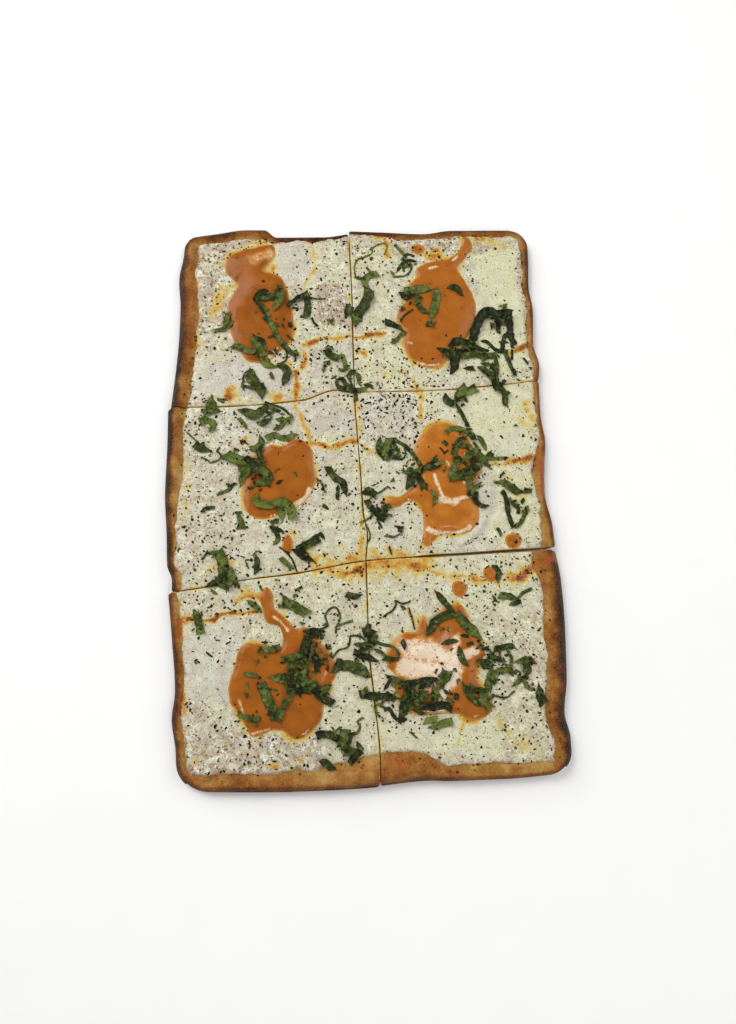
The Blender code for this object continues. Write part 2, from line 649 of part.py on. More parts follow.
class Slice:
    """One sixth of the pizza: a patch between four curves, with a bare rim along its outer sides."""

    def __init__(self, name, left, right, front, back):
        self.name, self.sides = name, (left, right, front, back)
        self.rims = {side: smooth_line(widths) for side, widths in RIMS[name].items()}
        self.dough = DOUGH + DOUGH_EXTRA.get(name, 0)
        self.corners = [[meet(x, y) for y in (front, back)] for x in (left, right)]
        self.size = np.subtract(self.corners[1][1], self.corners[0][0])

    def radius(self, side_x, side_y):
        outer = (side_x in self.rims) + (side_y in self.rims)
        return (0, SMALL_CORNER, CORNERS.get(self.name))[outer]

    def round_corners(self, u, v):
        """Bend a square corner of the patch into a round one."""
        width, depth = self.size
        for side_x, side_y in (("left", "front"), ("left", "back"), ("right", "front"), ("right", "back")):
            radius = self.radius(side_x, side_y)
            if not radius:
                continue
            away_x, away_y = u if side_x == "left" else 1 - u, v if side_y == "front" else 1 - v
            q = np.stack([1 - away_x * width / radius, 1 - away_y * depth / radius])
            inner = (q > 0).all(0)
            scale = np.where(inner, q.max(0) / np.maximum(np.hypot(*q), 1e-9), 1)
            away_x = np.where(inner, (1 - q[0] * scale) * radius / width, away_x)
            away_y = np.where(inner, (1 - q[1] * scale) * radius / depth, away_y)
            u, v = away_x if side_x == "left" else 1 - away_x, away_y if side_y == "front" else 1 - away_y
        return u, v

    def plan(self, u, v):
        """Points of the patch. u runs from the left side to the right, and v from the front to the back."""
        left, right, front, back = self.sides
        (lf, lb), (rf, rb) = np.array(self.corners)
        y0, y1 = lf[1] + (lb[1] - lf[1]) * v, rf[1] + (rb[1] - rf[1]) * v
        x0, x1 = lf[0] + (rf[0] - lf[0]) * u, lb[0] + (rb[0] - lb[0]) * u
        u, v = u[..., None], v[..., None]
        across = (1 - u) * np.stack([left(y0), y0], -1) + u * np.stack([right(y1), y1], -1)
        along = (1 - v) * np.stack([x0, front(x0)], -1) + v * np.stack([x1, back(x1)], -1)
        flat = (1 - u) * (1 - v) * lf + u * (1 - v) * rf + (1 - u) * v * lb + u * v * rb
        return across + along - flat

    def widths(self, side, at):
        return self.rims[side](at) if side in self.rims else np.zeros_like(at)

    def grid(self, lines_x, lines_y):
        """Plan points, and the rim's width that counts at each. A line is four numbers: how much of the low
        side's rim, of the space between the rims, and of the high side's rim lies before it, and a shift."""
        width, depth = self.size
        x0, y0 = self.corners[0][0]
        rough_x = x0 + width * np.array(lines_x)[:, 1]
        rough_y = y0 + depth * np.array(lines_y)[:, 1]
        low_x, high_x = self.widths("left", rough_y), self.widths("right", rough_y)
        low_y, high_y = self.widths("front", rough_x), self.widths("back", rough_x)
        a, b, c, d = np.array(lines_x).T[:, :, None]
        u = (a * low_x + b * (width - low_x - high_x) + c * high_x + d) / width
        a, b, c, d = np.array(lines_y).T[:, None, :]
        v = (a * low_y[:, None] + b * (depth - low_y - high_y)[:, None] + c * high_y[:, None] + d) / depth
        near_x = np.where(np.array(lines_x)[:, 1, None] < 0.5, low_x, high_x)
        near_y = np.where(np.array(lines_y)[None, :, 1] < 0.5, low_y[:, None], high_y[:, None])
        return self.plan(*self.round_corners(u, v)), near_x, near_y

    def lines(self, low, high, across, rim, inset):
        """Grid lines from one side to the other, with the given shares of the rim on an outer side."""
        before = [(t, 0, 0, 0 if t else inset) for t in rim] if low in self.rims else []
        after = [(1, 1, 1 - t, 0 if t else -inset) for t in reversed(rim)] if high in self.rims else []
        return before + [(1, s, 0, 0) for s in across] + after

    def crust(self):
        """The dough: flat under the cheese, with a rim that rises and rounds over on the outer sides."""
        share, rise = np.array(RIM_SHAPE).T
        across = np.linspace(0, 1, CELLS + 1)
        sheets = []
        for level, inset in ((0.0, BOTTOM_INSET), (SIDE_BULGE, 0.0), (None, TOP_INSET)):
            lines_x = self.lines("left", "right", across, share[:-1], inset)
            lines_y = self.lines("front", "back", across, share[:-1], inset)
            plan, near_x, near_y = self.grid(lines_x, lines_y)
            if level is None:
                in_x, in_y = (np.array([min(a, 1 - c) for a, _, c, _ in lines]) for lines in (lines_x, lines_y))
                in_x, in_y = np.meshgrid(in_x, in_y, indexing="ij")
                crest = RIM_RISE[0] + RIM_RISE[1] * np.where(in_x < in_y, near_x, near_y)
                crest = crest * (1 + 0.2 * even(plan[..., 0], plan[..., 1], 22, 3))
                level = self.dough + crest * np.interp(np.minimum(in_x, in_y), share, rise)
            sheets.append(np.concatenate([plan, np.broadcast_to(level, plan.shape[:2])[..., None]], -1))
        return grid_block(sheets)

    def cheese(self):
        """The melted layer between the rims: flat below, gently uneven above, thin at its outer edge."""
        sheets = []
        for top, clear in ((False, 1.0), (True, 1.5)):
            across = np.linspace(0, 1, CELLS + 1)
            grids = []
            for low, high in (("left", "right"), ("front", "back")):
                lines = [(1, s, 0, 0) for s in across]
                if low in self.rims:
                    lines[:1] = [(1, 0, 0, clear), (1, 0, 0, 4.5)]
                if high in self.rims:
                    lines[-1:] = [(1, 1, 0, -4.5), (1, 1, 0, -clear)]
                grids.append(lines)
            plan, _, _ = self.grid(*grids)
            x, y = plan[..., 0], plan[..., 1]
            z = np.full(x.shape, self.dough + GAP)
            if top:
                thick = CHEESE + 0.7 * even(x, y, 34, 5) + 0.35 * even(x, y, 15, 9)
                edge = np.zeros(x.shape, bool)
                rows = {"left": edge[0], "right": edge[-1], "front": edge[:, 0], "back": edge[:, -1]}
                for side, row in rows.items():
                    row[:] |= side in self.rims
                z = z + np.where(edge, CHEESE_EDGE, thick)
            sheets.append(np.stack([x, y, z], -1))
        return grid_block(sheets)


def meet(side_x, side_y):
    """The corner where a side given as x for each y meets one given as y for each x."""
    x, y = 0.0, 0.0
    for _ in range(30):
        x = float(side_x(y))
        y = float(side_y(x))
    return x, y


def make_slices():
    long_cut, back_cut, front_cut = (smooth_line(points) for points in (LONG_CUT, BACK_CUT, FRONT_CUT))
    front_gap = smooth_line(FRONT_GAP)
    rows = {
        "back": (lambda x: back_cut(x) + CUT / 2, None),
        "middle": (lambda x: front_cut(x) + front_gap(x) / 2, lambda x: back_cut(x) - CUT / 2),
        "front": (None, lambda x: front_cut(x) - front_gap(x) / 2),
    }
    columns = {
        "left": (None, lambda y: long_cut(y) - CUT / 2),
        "right": (lambda y: long_cut(y) + CUT / 2, None),
    }
    slices = {}
    for row, (front, back) in rows.items():
        for column, (left, right) in columns.items():
            name = f"{row}_{column}"
            outer = {side: smooth_line(points) for side, points in OUTER[name].items()}
            slices[name] = Slice(
                name,
                left or outer["left"],
                right or outer["right"],
                front or outer["front"],
                back or outer["back"],
            )
    return slices


def flake(x, y, z, size, turn, sides):
    """A dried herb flake: a thin chip, sunk a little."""
    bm = bmesh.new()
    bmesh.ops.create_cone(bm, cap_ends=True, segments=sides, radius1=size / 2, radius2=size / 2.6, depth=1.1)
    place = Matrix.Translation((x, y, z)) @ Matrix.Rotation(turn, 4, "Z") @ Matrix.Diagonal((1, 0.62, 1, 1))
    bmesh.ops.transform(bm, matrix=place, verts=bm.verts[:])
    return bm


def shred_block(width, points, lower, thickness=LEAF):
    """A ribbon along a path. lower gives the height of its under side for plan points and path shares."""
    path = smooth_path(points, SHRED_STEP)
    run = np.gradient(path, axis=0)
    side = np.stack([-run[:, 1], run[:, 0]], 1) / np.linalg.norm(run, axis=1)[:, None]
    share = np.linspace(0, 1, len(path))
    half = width / 2 * (1 - 0.45 * np.abs(2 * share - 1) ** 4)
    columns = (-1, 0, 1) if width >= WIDE_SHRED else (-1, 1)
    plan = np.stack([path + side * (half * c)[:, None] for c in columns], 1)
    z = lower(plan.reshape(-1, 2), np.repeat(share, len(columns))).reshape(plan.shape[:2])
    if len(columns) == 3:
        z[:, 1] += 0.45
    low = np.concatenate([plan, z[..., None]], -1)
    high = low + np.array([0, 0, thickness])
    return grid_block([low, high])


def free_ends(points, others):
    """Whether each end of a shred is well away from the bundle's other shreds and mounds."""
    ends = np.array([points[0], points[-1]], float)
    clear = np.full(2, 99.0)
    for path in others:
        clear = np.minimum(clear, distance_to_path(ends, path))
    return clear > 9


def bundle(name, content, ground):
    """A bundle of basil: mounds first, then the shreds over them, all fused."""
    own = Ground()
    blocks = []
    for x, y, half_x, half_y, height in content["core"]:
        angles = np.linspace(0, 2 * math.pi, MOUND_SIDES, endpoint=False)
        plan = [(x + half_x * math.cos(a), y + half_y * math.sin(a)) for a in angles] + [(x, y)]

        def mound(flat, x=x, y=y, half_x=half_x, half_y=half_y, height=height):
            out = np.hypot((flat[:, 0] - x) / half_x, (flat[:, 1] - y) / half_y)
            low = ground.heights(flat, (half_x + half_y) / 4) + GAP
            return low, low + 0.5 + (height - 0.5) * np.clip(1 - out**2, 0, 1)

        blocks.append(outline_block(plan, MOUND_SIDES, mound))
        own.add(blocks[-1])
    paths = [smooth_path(shred[1:], 3) for shred in content["shreds"]]
    cores = [np.array([(x - 0.5 * hx, y), (x + 0.5 * hx, y)]) for x, y, hx, _, _ in content["core"]]
    for number, (width, *points) in enumerate(content["shreds"]):
        start, end = free_ends(points, [p for i, p in enumerate(paths) if i != number] + cores)

        def lower(flat, share, width=width, start=start, end=end, number=number):
            floor = ground.heights(flat, SHRED_STEP * 0.5) + GAP + 0.04 * (number % 4)
            pile = own.heights(flat, width * 0.3) - BITE
            curl = start * np.clip(1 - 3 * share, 0, 1) ** 2 + end * np.clip(3 * share - 2, 0, 1) ** 2
            return np.maximum(floor, pile) + CURL * curl * (0.5 + 0.5 * math.sin(number * 2.3))

        blocks.append(shred_block(width, points, lower))
        own.add(blocks[-1])
    obj = make_object(name, blocks[0], "basil")
    fused = unite(obj, blocks[1:]) if len(blocks) > 1 else blocks[0]
    return fused


def puddle(outline, ground):
    """A dollop of sauce: it follows what it lies on, and its top rounds up from a thin edge."""
    around = np.linalg.norm(np.diff(outline, axis=0), axis=1).sum()
    edge = smooth_path(outline, min(SAUCE_STEP, around / 8), closed=True)
    ring = np.vstack([edge, edge[:1]])
    run = np.roll(edge, -1, 0) - np.roll(edge, 1, 0)
    normal = np.stack([-run[:, 1], run[:, 0]], 1) / np.linalg.norm(run, axis=1)[:, None]
    clockwise = inside(edge + normal * 0.5, edge).mean() < 0.5
    inset = edge + normal * SAUCE_INSET * (-1 if clockwise else 1)
    low, high = edge.min(0), edge.max(0)
    lattice = []
    spacing = SAUCE_STEP * 1.4
    for row, y in enumerate(np.arange(low[1], high[1], spacing * 0.87)):
        lattice += [(x, y) for x in np.arange(low[0] + spacing / 2 * (row % 2), high[0], spacing)]
    inset = inset if around > SAUCE_STEP * 8 else edge.mean(0, keepdims=True)
    plan = [edge]
    for spots, room in ((inset, 0.8), (np.array(lattice), 2.1)):
        clear = distance_to_path(spots, ring) > SAUCE_INSET * room
        plan.append(spots[clear & inside(spots, edge)])
    plan = np.vstack(plan)

    def heights(flat):
        lower = ground.heights(flat, 3.0) + GAP
        depth = distance_to_path(flat, ring)
        swell = 1 - np.exp(-depth / SAUCE_ROUNDING)
        wave = 0.35 * even(flat[:, 0], flat[:, 1], 18, 21) * swell
        return lower, lower + SAUCE_EDGE + (SAUCE - SAUCE_EDGE) * swell + wave

    return outline_block(plan, len(edge), heights)


def drop_outline(x, y, half_x, half_y):
    """An uneven round edge."""
    angles = np.linspace(0, 2 * math.pi, 8, endpoint=False)
    swell = 1 + 0.06 * np.sin(3 * angles)
    return np.column_stack([x + half_x * np.cos(angles) * swell, y + half_y * np.sin(angles)])


def flakes_on(slice_, ground, keep_clear, rng):
    """The largest herb flakes of one slice, away from sauce and basil."""
    made, spots = [], []
    while len(made) < FLAKES:
        u, v = rng.uniform(0.13, 0.87, 2)
        x, y = slice_.plan(np.array(u), np.array(v))
        if any(distance_to_path([(x, y)], path)[0] < room for path, room in keep_clear):
            continue
        if any(math.dist((x, y), spot) < 13 for spot in spots):
            continue
        size = rng.uniform(*FLAKE_SIZE)
        turn, sides = rng.uniform(0, math.pi), int(rng.integers(5, 7))
        made.append(flake(x, y, ground.height(x, y, 0), size, turn, sides))
        spots.append((x, y))
    return made


def finish(objects):
    """Go from millimetres to metres, with the origin under the middle of the footprint."""
    place = Matrix.Scale(MM, 4) @ Matrix.Translation((-MIDDLE[0], -MIDDLE[1], 0))
    for obj in objects:
        obj.data.transform(place)
        obj.data.set_sharp_from_angle(angle=math.radians(40))
        obj.data.shade_smooth()


def clear_scene():
    for obj in list(bpy.data.objects):
        bpy.data.objects.remove(obj)


def main():
    clear_scene()
    rng = np.random.default_rng(SEED)
    ground = Ground()
    outlines = dict(SAUCES) | {name: drop_outline(*size) for name, size in DROPS.items()}
    keep_clear = [(smooth_path(outline, 4, closed=True), 3.5) for outline in outlines.values()]
    for content in BASIL.values():
        keep_clear += [(smooth_path(points, 3), width / 2 + 3) for width, *points in content["shreds"]]
        for x, y, half_x, half_y, _ in content["core"]:
            keep_clear.append((np.array([(x - 0.1, y), (x + 0.1, y)]), max(half_x, half_y) + 3))
    deep = [smooth_path(outline, 4, closed=True) for outline in SAUCES.values()]
    for name, slice_ in make_slices().items():
        crust = slice_.crust()
        make_object(f"crust_{name}", crust, "crust")
        ground.add(crust)
        cheese = slice_.cheese()
        obj = make_object(f"cheese_{name}", cheese, "cheese")
        top = Ground()
        top.add(cheese)
        baked = BAKED_IN.get(name, ())
        clear = keep_clear + [(smooth_path(points, 3), width / 2 + 2) for width, *points in baked]
        chips = [
            chip
            for chip in flakes_on(slice_, top, clear, rng)
            if not any(inside([box_of(chip)[0][:2]], edge)[0] for edge in deep)
        ]
        for width, *points in baked:

            def sunk(flat, share, width=width, top=top):
                return top.heights(flat, width / 3) - BAKED_DEPTH

            chips.append(shred_block(width, points, sunk, 2 * BAKED_DEPTH))
        ground.add(unite(obj, chips))
    for name, outline in outlines.items():
        dollop = puddle(outline, ground)
        make_object(name, dollop, "sauce")
        ground.add(dollop)
    for name, content in BASIL.items():
        ground.add(bundle(name, content, ground))
    finish(bpy.data.objects)


main()
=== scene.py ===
"""Looks of a rectangular sheet pizza: baked crust, melted white cheese, dollops of tomato cream sauce,
shredded basil and dried herbs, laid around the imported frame.

Plans are in millimetres, X to the right and Y away, from where the cuts cross near the middle. Meshes are in
metres, with the origin under the middle of the footprint.
"""

from __future__ import annotations

import logging
import math
from collections.abc import Callable, Sequence
from dataclasses import dataclass, field
from enum import Enum

import bmesh
import bpy
import numpy as np
from bpy.types import Material, Mesh, Node, NodeSocket, NodeTree, Object
from mathutils import Matrix, Vector
from mathutils.bvhtree import BVHTree

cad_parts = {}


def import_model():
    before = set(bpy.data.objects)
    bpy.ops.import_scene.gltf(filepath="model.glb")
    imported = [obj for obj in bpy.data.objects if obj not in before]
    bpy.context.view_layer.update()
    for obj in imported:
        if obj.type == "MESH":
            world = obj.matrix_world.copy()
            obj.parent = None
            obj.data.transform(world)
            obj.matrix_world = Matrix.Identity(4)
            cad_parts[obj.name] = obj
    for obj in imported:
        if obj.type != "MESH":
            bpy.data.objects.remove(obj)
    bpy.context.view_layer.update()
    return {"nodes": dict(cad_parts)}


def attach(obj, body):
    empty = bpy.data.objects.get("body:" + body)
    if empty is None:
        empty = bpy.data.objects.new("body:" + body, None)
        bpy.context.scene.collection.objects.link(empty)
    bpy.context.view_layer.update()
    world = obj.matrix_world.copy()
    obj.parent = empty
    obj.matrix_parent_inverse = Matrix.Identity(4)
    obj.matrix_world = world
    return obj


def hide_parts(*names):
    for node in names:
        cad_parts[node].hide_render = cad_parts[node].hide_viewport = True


log = logging.getLogger("pizza")

Array = np.ndarray
Point = tuple[float, float]
Points = Sequence[Point]
Place = tuple[float, float, float]
Curve = Callable[[Array], Array]
Colour = tuple[float, float, float, float]
Stops = tuple[tuple[float, Colour], ...]
# Size of clouds in millimetres, how many finer ones they have, and how strong those are.
Clouds = tuple[float, float, float]
# What can feed a node's input.
Source = NodeSocket | float | Colour

BODY = "root"
MM = 0.001
MIDDLE = np.array([-3.72, 0.50])

# How finely curves are laid out: pieces between two given points, and millimetres along a route.
CURVE_PIECES = 12
ROUTE_STEP = 4.0
# Cells on each side of the pattern that uneven heights repeat after.
PATTERN_CELLS = 61
# A height above everything, from which the heights below are felt.
ABOVE = 60.0
# Edges sharper than this stay sharp.
SHARP = math.radians(55)
LEAF_SHARP = math.radians(60)

# Sizes in millimetres, as in the solids.
DOUGH = 9.0
CHEESE = 2.7
CUT = 0.8
DOUGH_EXTRA = {"back_left": 0.5, "middle_right": 0.3, "front_right": 0.6, "middle_left": 0.2}
# Rise of the rim over the dough: the least, and what each millimetre of its width adds.
RIM_RISE = (1.2, 0.22)
# Height over the rim from outside to inside, as shares of its width and of its rise.
RIM_SHAPE = ((0.0, -0.25), (0.1, 0.42), (0.2, 0.82), (0.34, 1.0), (0.65, 0.72), (0.85, 0.2), (1.0, 0.0))
# An outer side from the bottom up: height, and how far in.
SIDE_PROFILE = ((0.0, 2.3), (0.3, 1.5), (1.1, 0.7), (2.5, 0.2), (4.2, 0.0), (6.0, 0.0), (7.6, 0.3))
TOP_INSET = 0.9
SAUCE = 2.4

# The cuts, as places along and across, and the front one's gap as places along and widths.
LONG_CUT = (
    (-240, 3), (-215, 4), (-170, 1), (-130, -2), (-62, -2), (-40, 0), (-20, -3), (10, -4), (84, -7),
    (130, -7), (160, -6.5), (242, -8),
)
BACK_CUT = (
    (-168, 73), (-120, 73), (-53, 77), (-22, 86), (-7, 84), (60, 84), (98, 86.5), (130, 89), (160, 93),
)
FRONT_CUT = (
    (-168, -83), (-140, -80), (-100, -74), (-60, -70), (0, -61), (45, -59), (90, -57.5), (160, -55),
)
FRONT_GAP = ((-168, 0.8), (30, 0.8), (60, 2.4), (130, 2.4), (160, 3.2))


class Side(Enum):
    """A side of a slice."""

    LEFT = "left"
    RIGHT = "right"
    FRONT = "front"
    BACK = "back"


# The outer sides, as places along and across, and their bare rims as places along and widths.
OUTER = {
    "back_left": {
        Side.LEFT: (
            (72, -161), (100, -158), (140, -155), (165, -154.5), (192, -156), (215, -152.5), (236, -151),
        ),
        Side.BACK: (
            (-156, 230), (-125, 234.5), (-100, 238), (-83, 238), (-72, 230.5), (-30, 230.5), (-4, 234),
        ),
    },
    "back_right": {
        Side.BACK: ((-12, 236.5), (20, 235), (60, 233), (85, 236), (135, 236), (156, 229)),
        Side.RIGHT: (
            (88, 151), (108, 153.5), (125, 150), (160, 152), (180, 150), (205, 151.5), (240, 152.5),
        ),
    },
    "middle_left": {
        Side.LEFT: ((-84, -157), (-72, -157), (-60, -161), (-35, -162), (0, -164), (45, -163), (78, -163)),
    },
    "middle_right": {
        Side.RIGHT: ((-58, 154), (-35, 153), (-10, 149), (15, 150.5), (38, 153), (60, 151), (96, 152)),
    },
    "front_left": {
        Side.LEFT: ((-240, -150), (-205, -151.5), (-180, -155), (-160, -153), (-120, -156), (-80, -160)),
        Side.FRONT: ((-155, -233), (-110, -235.5), (-60, -237), (-30, -237), (8, -236)),
    },
    "front_right": {
        Side.FRONT: ((-4, -236), (40, -233), (60, -234), (100, -234), (156, -231)),
        Side.RIGHT: (
            (-236, 153), (-205, 153), (-188, 150), (-160, 154), (-100, 156.5), (-80, 156), (-54, 153),
        ),
    },
}
RIMS = {
    "back_left": {
        Side.LEFT: ((76, 13), (120, 14), (180, 15), (232, 12)),
        Side.BACK: ((-152, 8), (-95, 8), (-75, 4), (-50, 4), (-8, 2.5)),
    },
    "back_right": {
        Side.BACK: ((-7, 2.5), (25, 2.5), (38, 6), (85, 5), (150, 6)),
        Side.RIGHT: ((92, 3), (110, 4), (140, 5), (232, 5)),
    },
    "middle_left": {Side.LEFT: ((-80, 6), (-50, 5), (-20, 7), (20, 11), (73, 12))},
    "middle_right": {Side.RIGHT: ((-52, 10), (-25, 5.5), (5, 9), (35, 5), (60, 3.2), (92, 3))},
    "front_left": {
        Side.LEFT: ((-236, 6), (-150, 5.5), (-84, 6)),
        Side.FRONT: ((-150, 12), (-80, 14.5), (-45, 16), (-20, 22), (0, 24)),
    },
    "front_right": {
        Side.FRONT: ((0, 24), (38, 22), (60, 12), (118, 11), (150, 10)),
        Side.RIGHT: ((-232, 12), (-170, 15), (-100, 14.5), (-57, 19)),
    },
}
# Radius of the pizza's own corners, and of the others.
CORNERS = {"back_left": 9, "back_right": 9, "front_left": 22, "front_right": 17}
SMALL_CORNER = 2.5

# How far each outer side leans out at the top.
LEAN = {Side.LEFT: 1.9, Side.RIGHT: 1.9, Side.FRONT: 0.6, Side.BACK: 2.1}

# How dark each outer side is baked at its outer edge, how dark further in, and how far that takes.
BAKE = {
    ("back_left", Side.LEFT): (0.98, 0.34, 7.0), ("back_left", Side.BACK): (0.84, 0.44, 7.0),
    ("back_right", Side.BACK): (0.85, 0.42, 3.5), ("back_right", Side.RIGHT): (0.74, 0.34, 3.0),
    ("middle_left", Side.LEFT): (0.96, 0.28, 5.0), ("middle_right", Side.RIGHT): (0.72, 0.24, 3.0),
    ("front_left", Side.LEFT): (0.78, 0.28, 4.2), ("front_left", Side.FRONT): (0.62, 0.27, 5.0),
    ("front_right", Side.FRONT): (0.66, 0.3, 4.5), ("front_right", Side.RIGHT): (0.94, 0.42, 11.0),
}

# Outlines of the dollops, then middles and half sizes of the drops.
SAUCES = {
    "sauce_back_left": (
        (-74, 194), (-66, 188), (-62, 172), (-58, 150), (-59, 133), (-67, 124), (-84, 112), (-98, 114),
        (-105, 124), (-111, 136), (-115, 158), (-112, 172), (-106, 184), (-112, 191), (-117, 200),
        (-114, 211), (-104, 217), (-88, 220), (-76, 222), (-73, 214), (-79, 204), (-84, 197),
    ),
    "sauce_back_right": (
        (50, 189), (51, 196), (57, 202), (67, 206), (79, 207), (88, 213), (93, 222), (94, 229), (100, 228),
        (102, 219), (97, 209), (89, 201), (89, 193), (95, 184), (100, 172), (102, 158), (99, 145),
        (92, 132), (82, 121), (74, 111), (64, 105), (53, 106), (43, 113), (37, 124), (38, 138), (33, 148),
        (33, 158), (41, 168), (44, 182),
    ),
    "sauce_middle_left": (
        (-80, 38), (-68, 37), (-58, 43), (-49, 40), (-44, 30), (-42, 12), (-44, 0), (-50, -9), (-57, -14),
        (-66, -13), (-73, -21), (-82, -24), (-93, -22), (-100, -14), (-101, -2), (-99, 12), (-97, 26),
        (-88, 31),
    ),
    "sauce_middle_right": (
        (52, 48), (58, 53), (66, 55), (74, 53), (81, 47), (89, 37), (95, 27), (97, 14), (92, 2), (90, -10),
        (93, -20), (92, -30), (85, -38), (76, -41), (60, -41), (54, -46), (49, -51), (45, -47), (46, -36),
        (46, -22), (41, -14), (34, -12), (27, -17), (20, -18), (15, -14), (19, -9), (28, -9), (35, -4),
        (42, 1), (46, 8), (45, 16), (41, 24), (42, 33), (46, 42),
    ),
    "sauce_front_left": (
        (-103, -127), (-95, -124), (-84, -126), (-73, -129), (-69, -120), (-74, -112), (-82, -109),
        (-86, -98), (-89, -88), (-83, -81), (-78, -86), (-76, -98), (-68, -105), (-60, -113), (-51, -114),
        (-43, -121), (-37, -129), (-31, -138), (-29, -149), (-33, -160), (-38, -170), (-41, -183),
        (-47, -192), (-60, -198), (-75, -191), (-92, -195), (-99, -188), (-103, -180), (-111, -168),
        (-112, -155), (-108, -142),
    ),
    "sauce_front_right": (
        (24, -121), (30, -119), (36, -119), (39, -110), (44, -108), (47, -118), (51, -115), (54, -106),
        (63, -101), (72, -99), (77, -106), (80, -116), (87, -127), (90, -138), (84, -146), (83, -158),
        (90, -169), (93, -180), (84, -188), (72, -188), (63, -183), (46, -184), (31, -182), (21, -173),
        (17, -161), (18, -153), (12, -146), (13, -134), (18, -127),
    ),
}
DROPS = {
    "sauce_drop_back_right": (54, 217, 6, 5.5),
    "sauce_drop_middle_left": (-65, -46, 4.5, 7.5),
    "sauce_drop_middle_right": (120, -48, 7, 6.3),
    "sauce_drop_front_right": (99, -75, 6, 6.5),
    "sauce_drop_front": (73, -86, 6.3, 6.5),
}

# How much paler a dollop is than the usual one.
SAUCE_PALE = {
    "sauce_back_left": -0.24, "sauce_middle_left": -0.12, "sauce_middle_right": 0.22,
    "sauce_front_left": -0.16, "sauce_front_right": -0.06,
}

# Pale cream floating on the sauce, and painted highlights and glare: width, strength, and x and y of each
# route point.
CREAM_AND_GLARE = (
    (7.5, 0.95, 26, -132, 38, -133, 52, -138, 66, -142), (7.5, 0.95, 25, -146, 40, -149, 62, -151),
    (4.5, 0.9, 66, -156, 57, -163, 55, -170), (3.5, 0.9, 67, -126, 67, -134), (4, 0.85, 74, -139, 83, -136),
    (3.2, 0.85, 61, -12, 66, -13.5, 72, -15), (1.4, 0.9, 57, 9, 59, 2, 61, -4, 63, -10),
    (1.2, 0.8, 80, 7, 82, 1), (1.7, 0.9, 50, -37, 56, -40, 66, -40.5, 77, -39.5, 84, -36),
    (0.9, 0.7, 68, 20, 70, 16), (0.9, 0.7, 84, 26, 87, 20), (1.3, 0.75, 73, -15, 79, -11, 86, -11),
    (1.7, 0.95, -47, -1, -51, -8, -58, -13), (1.4, 0.7, -79, 116, -72, 124),
    (5, 0.36, -93, 206, -85, 210, -78, 213), (1.2, 0.6, -77, -104, -71, -109, -66, -115),
    (1.0, 0.7, 48, 109, 57, 106.5, 66, 107), (1.2, 0.6, 62, 197, 70, 199), (1.0, 0.6, 84, 205, 88, 209),
    (1.2, 0.5, 40, 128, 44, 126), (1.0, 0.5, -104, -168, -100, -180), (1.0, 0.5, -94, -193, -80, -190),
    (1.0, 0.5, 30, -181, 60, -182),
)

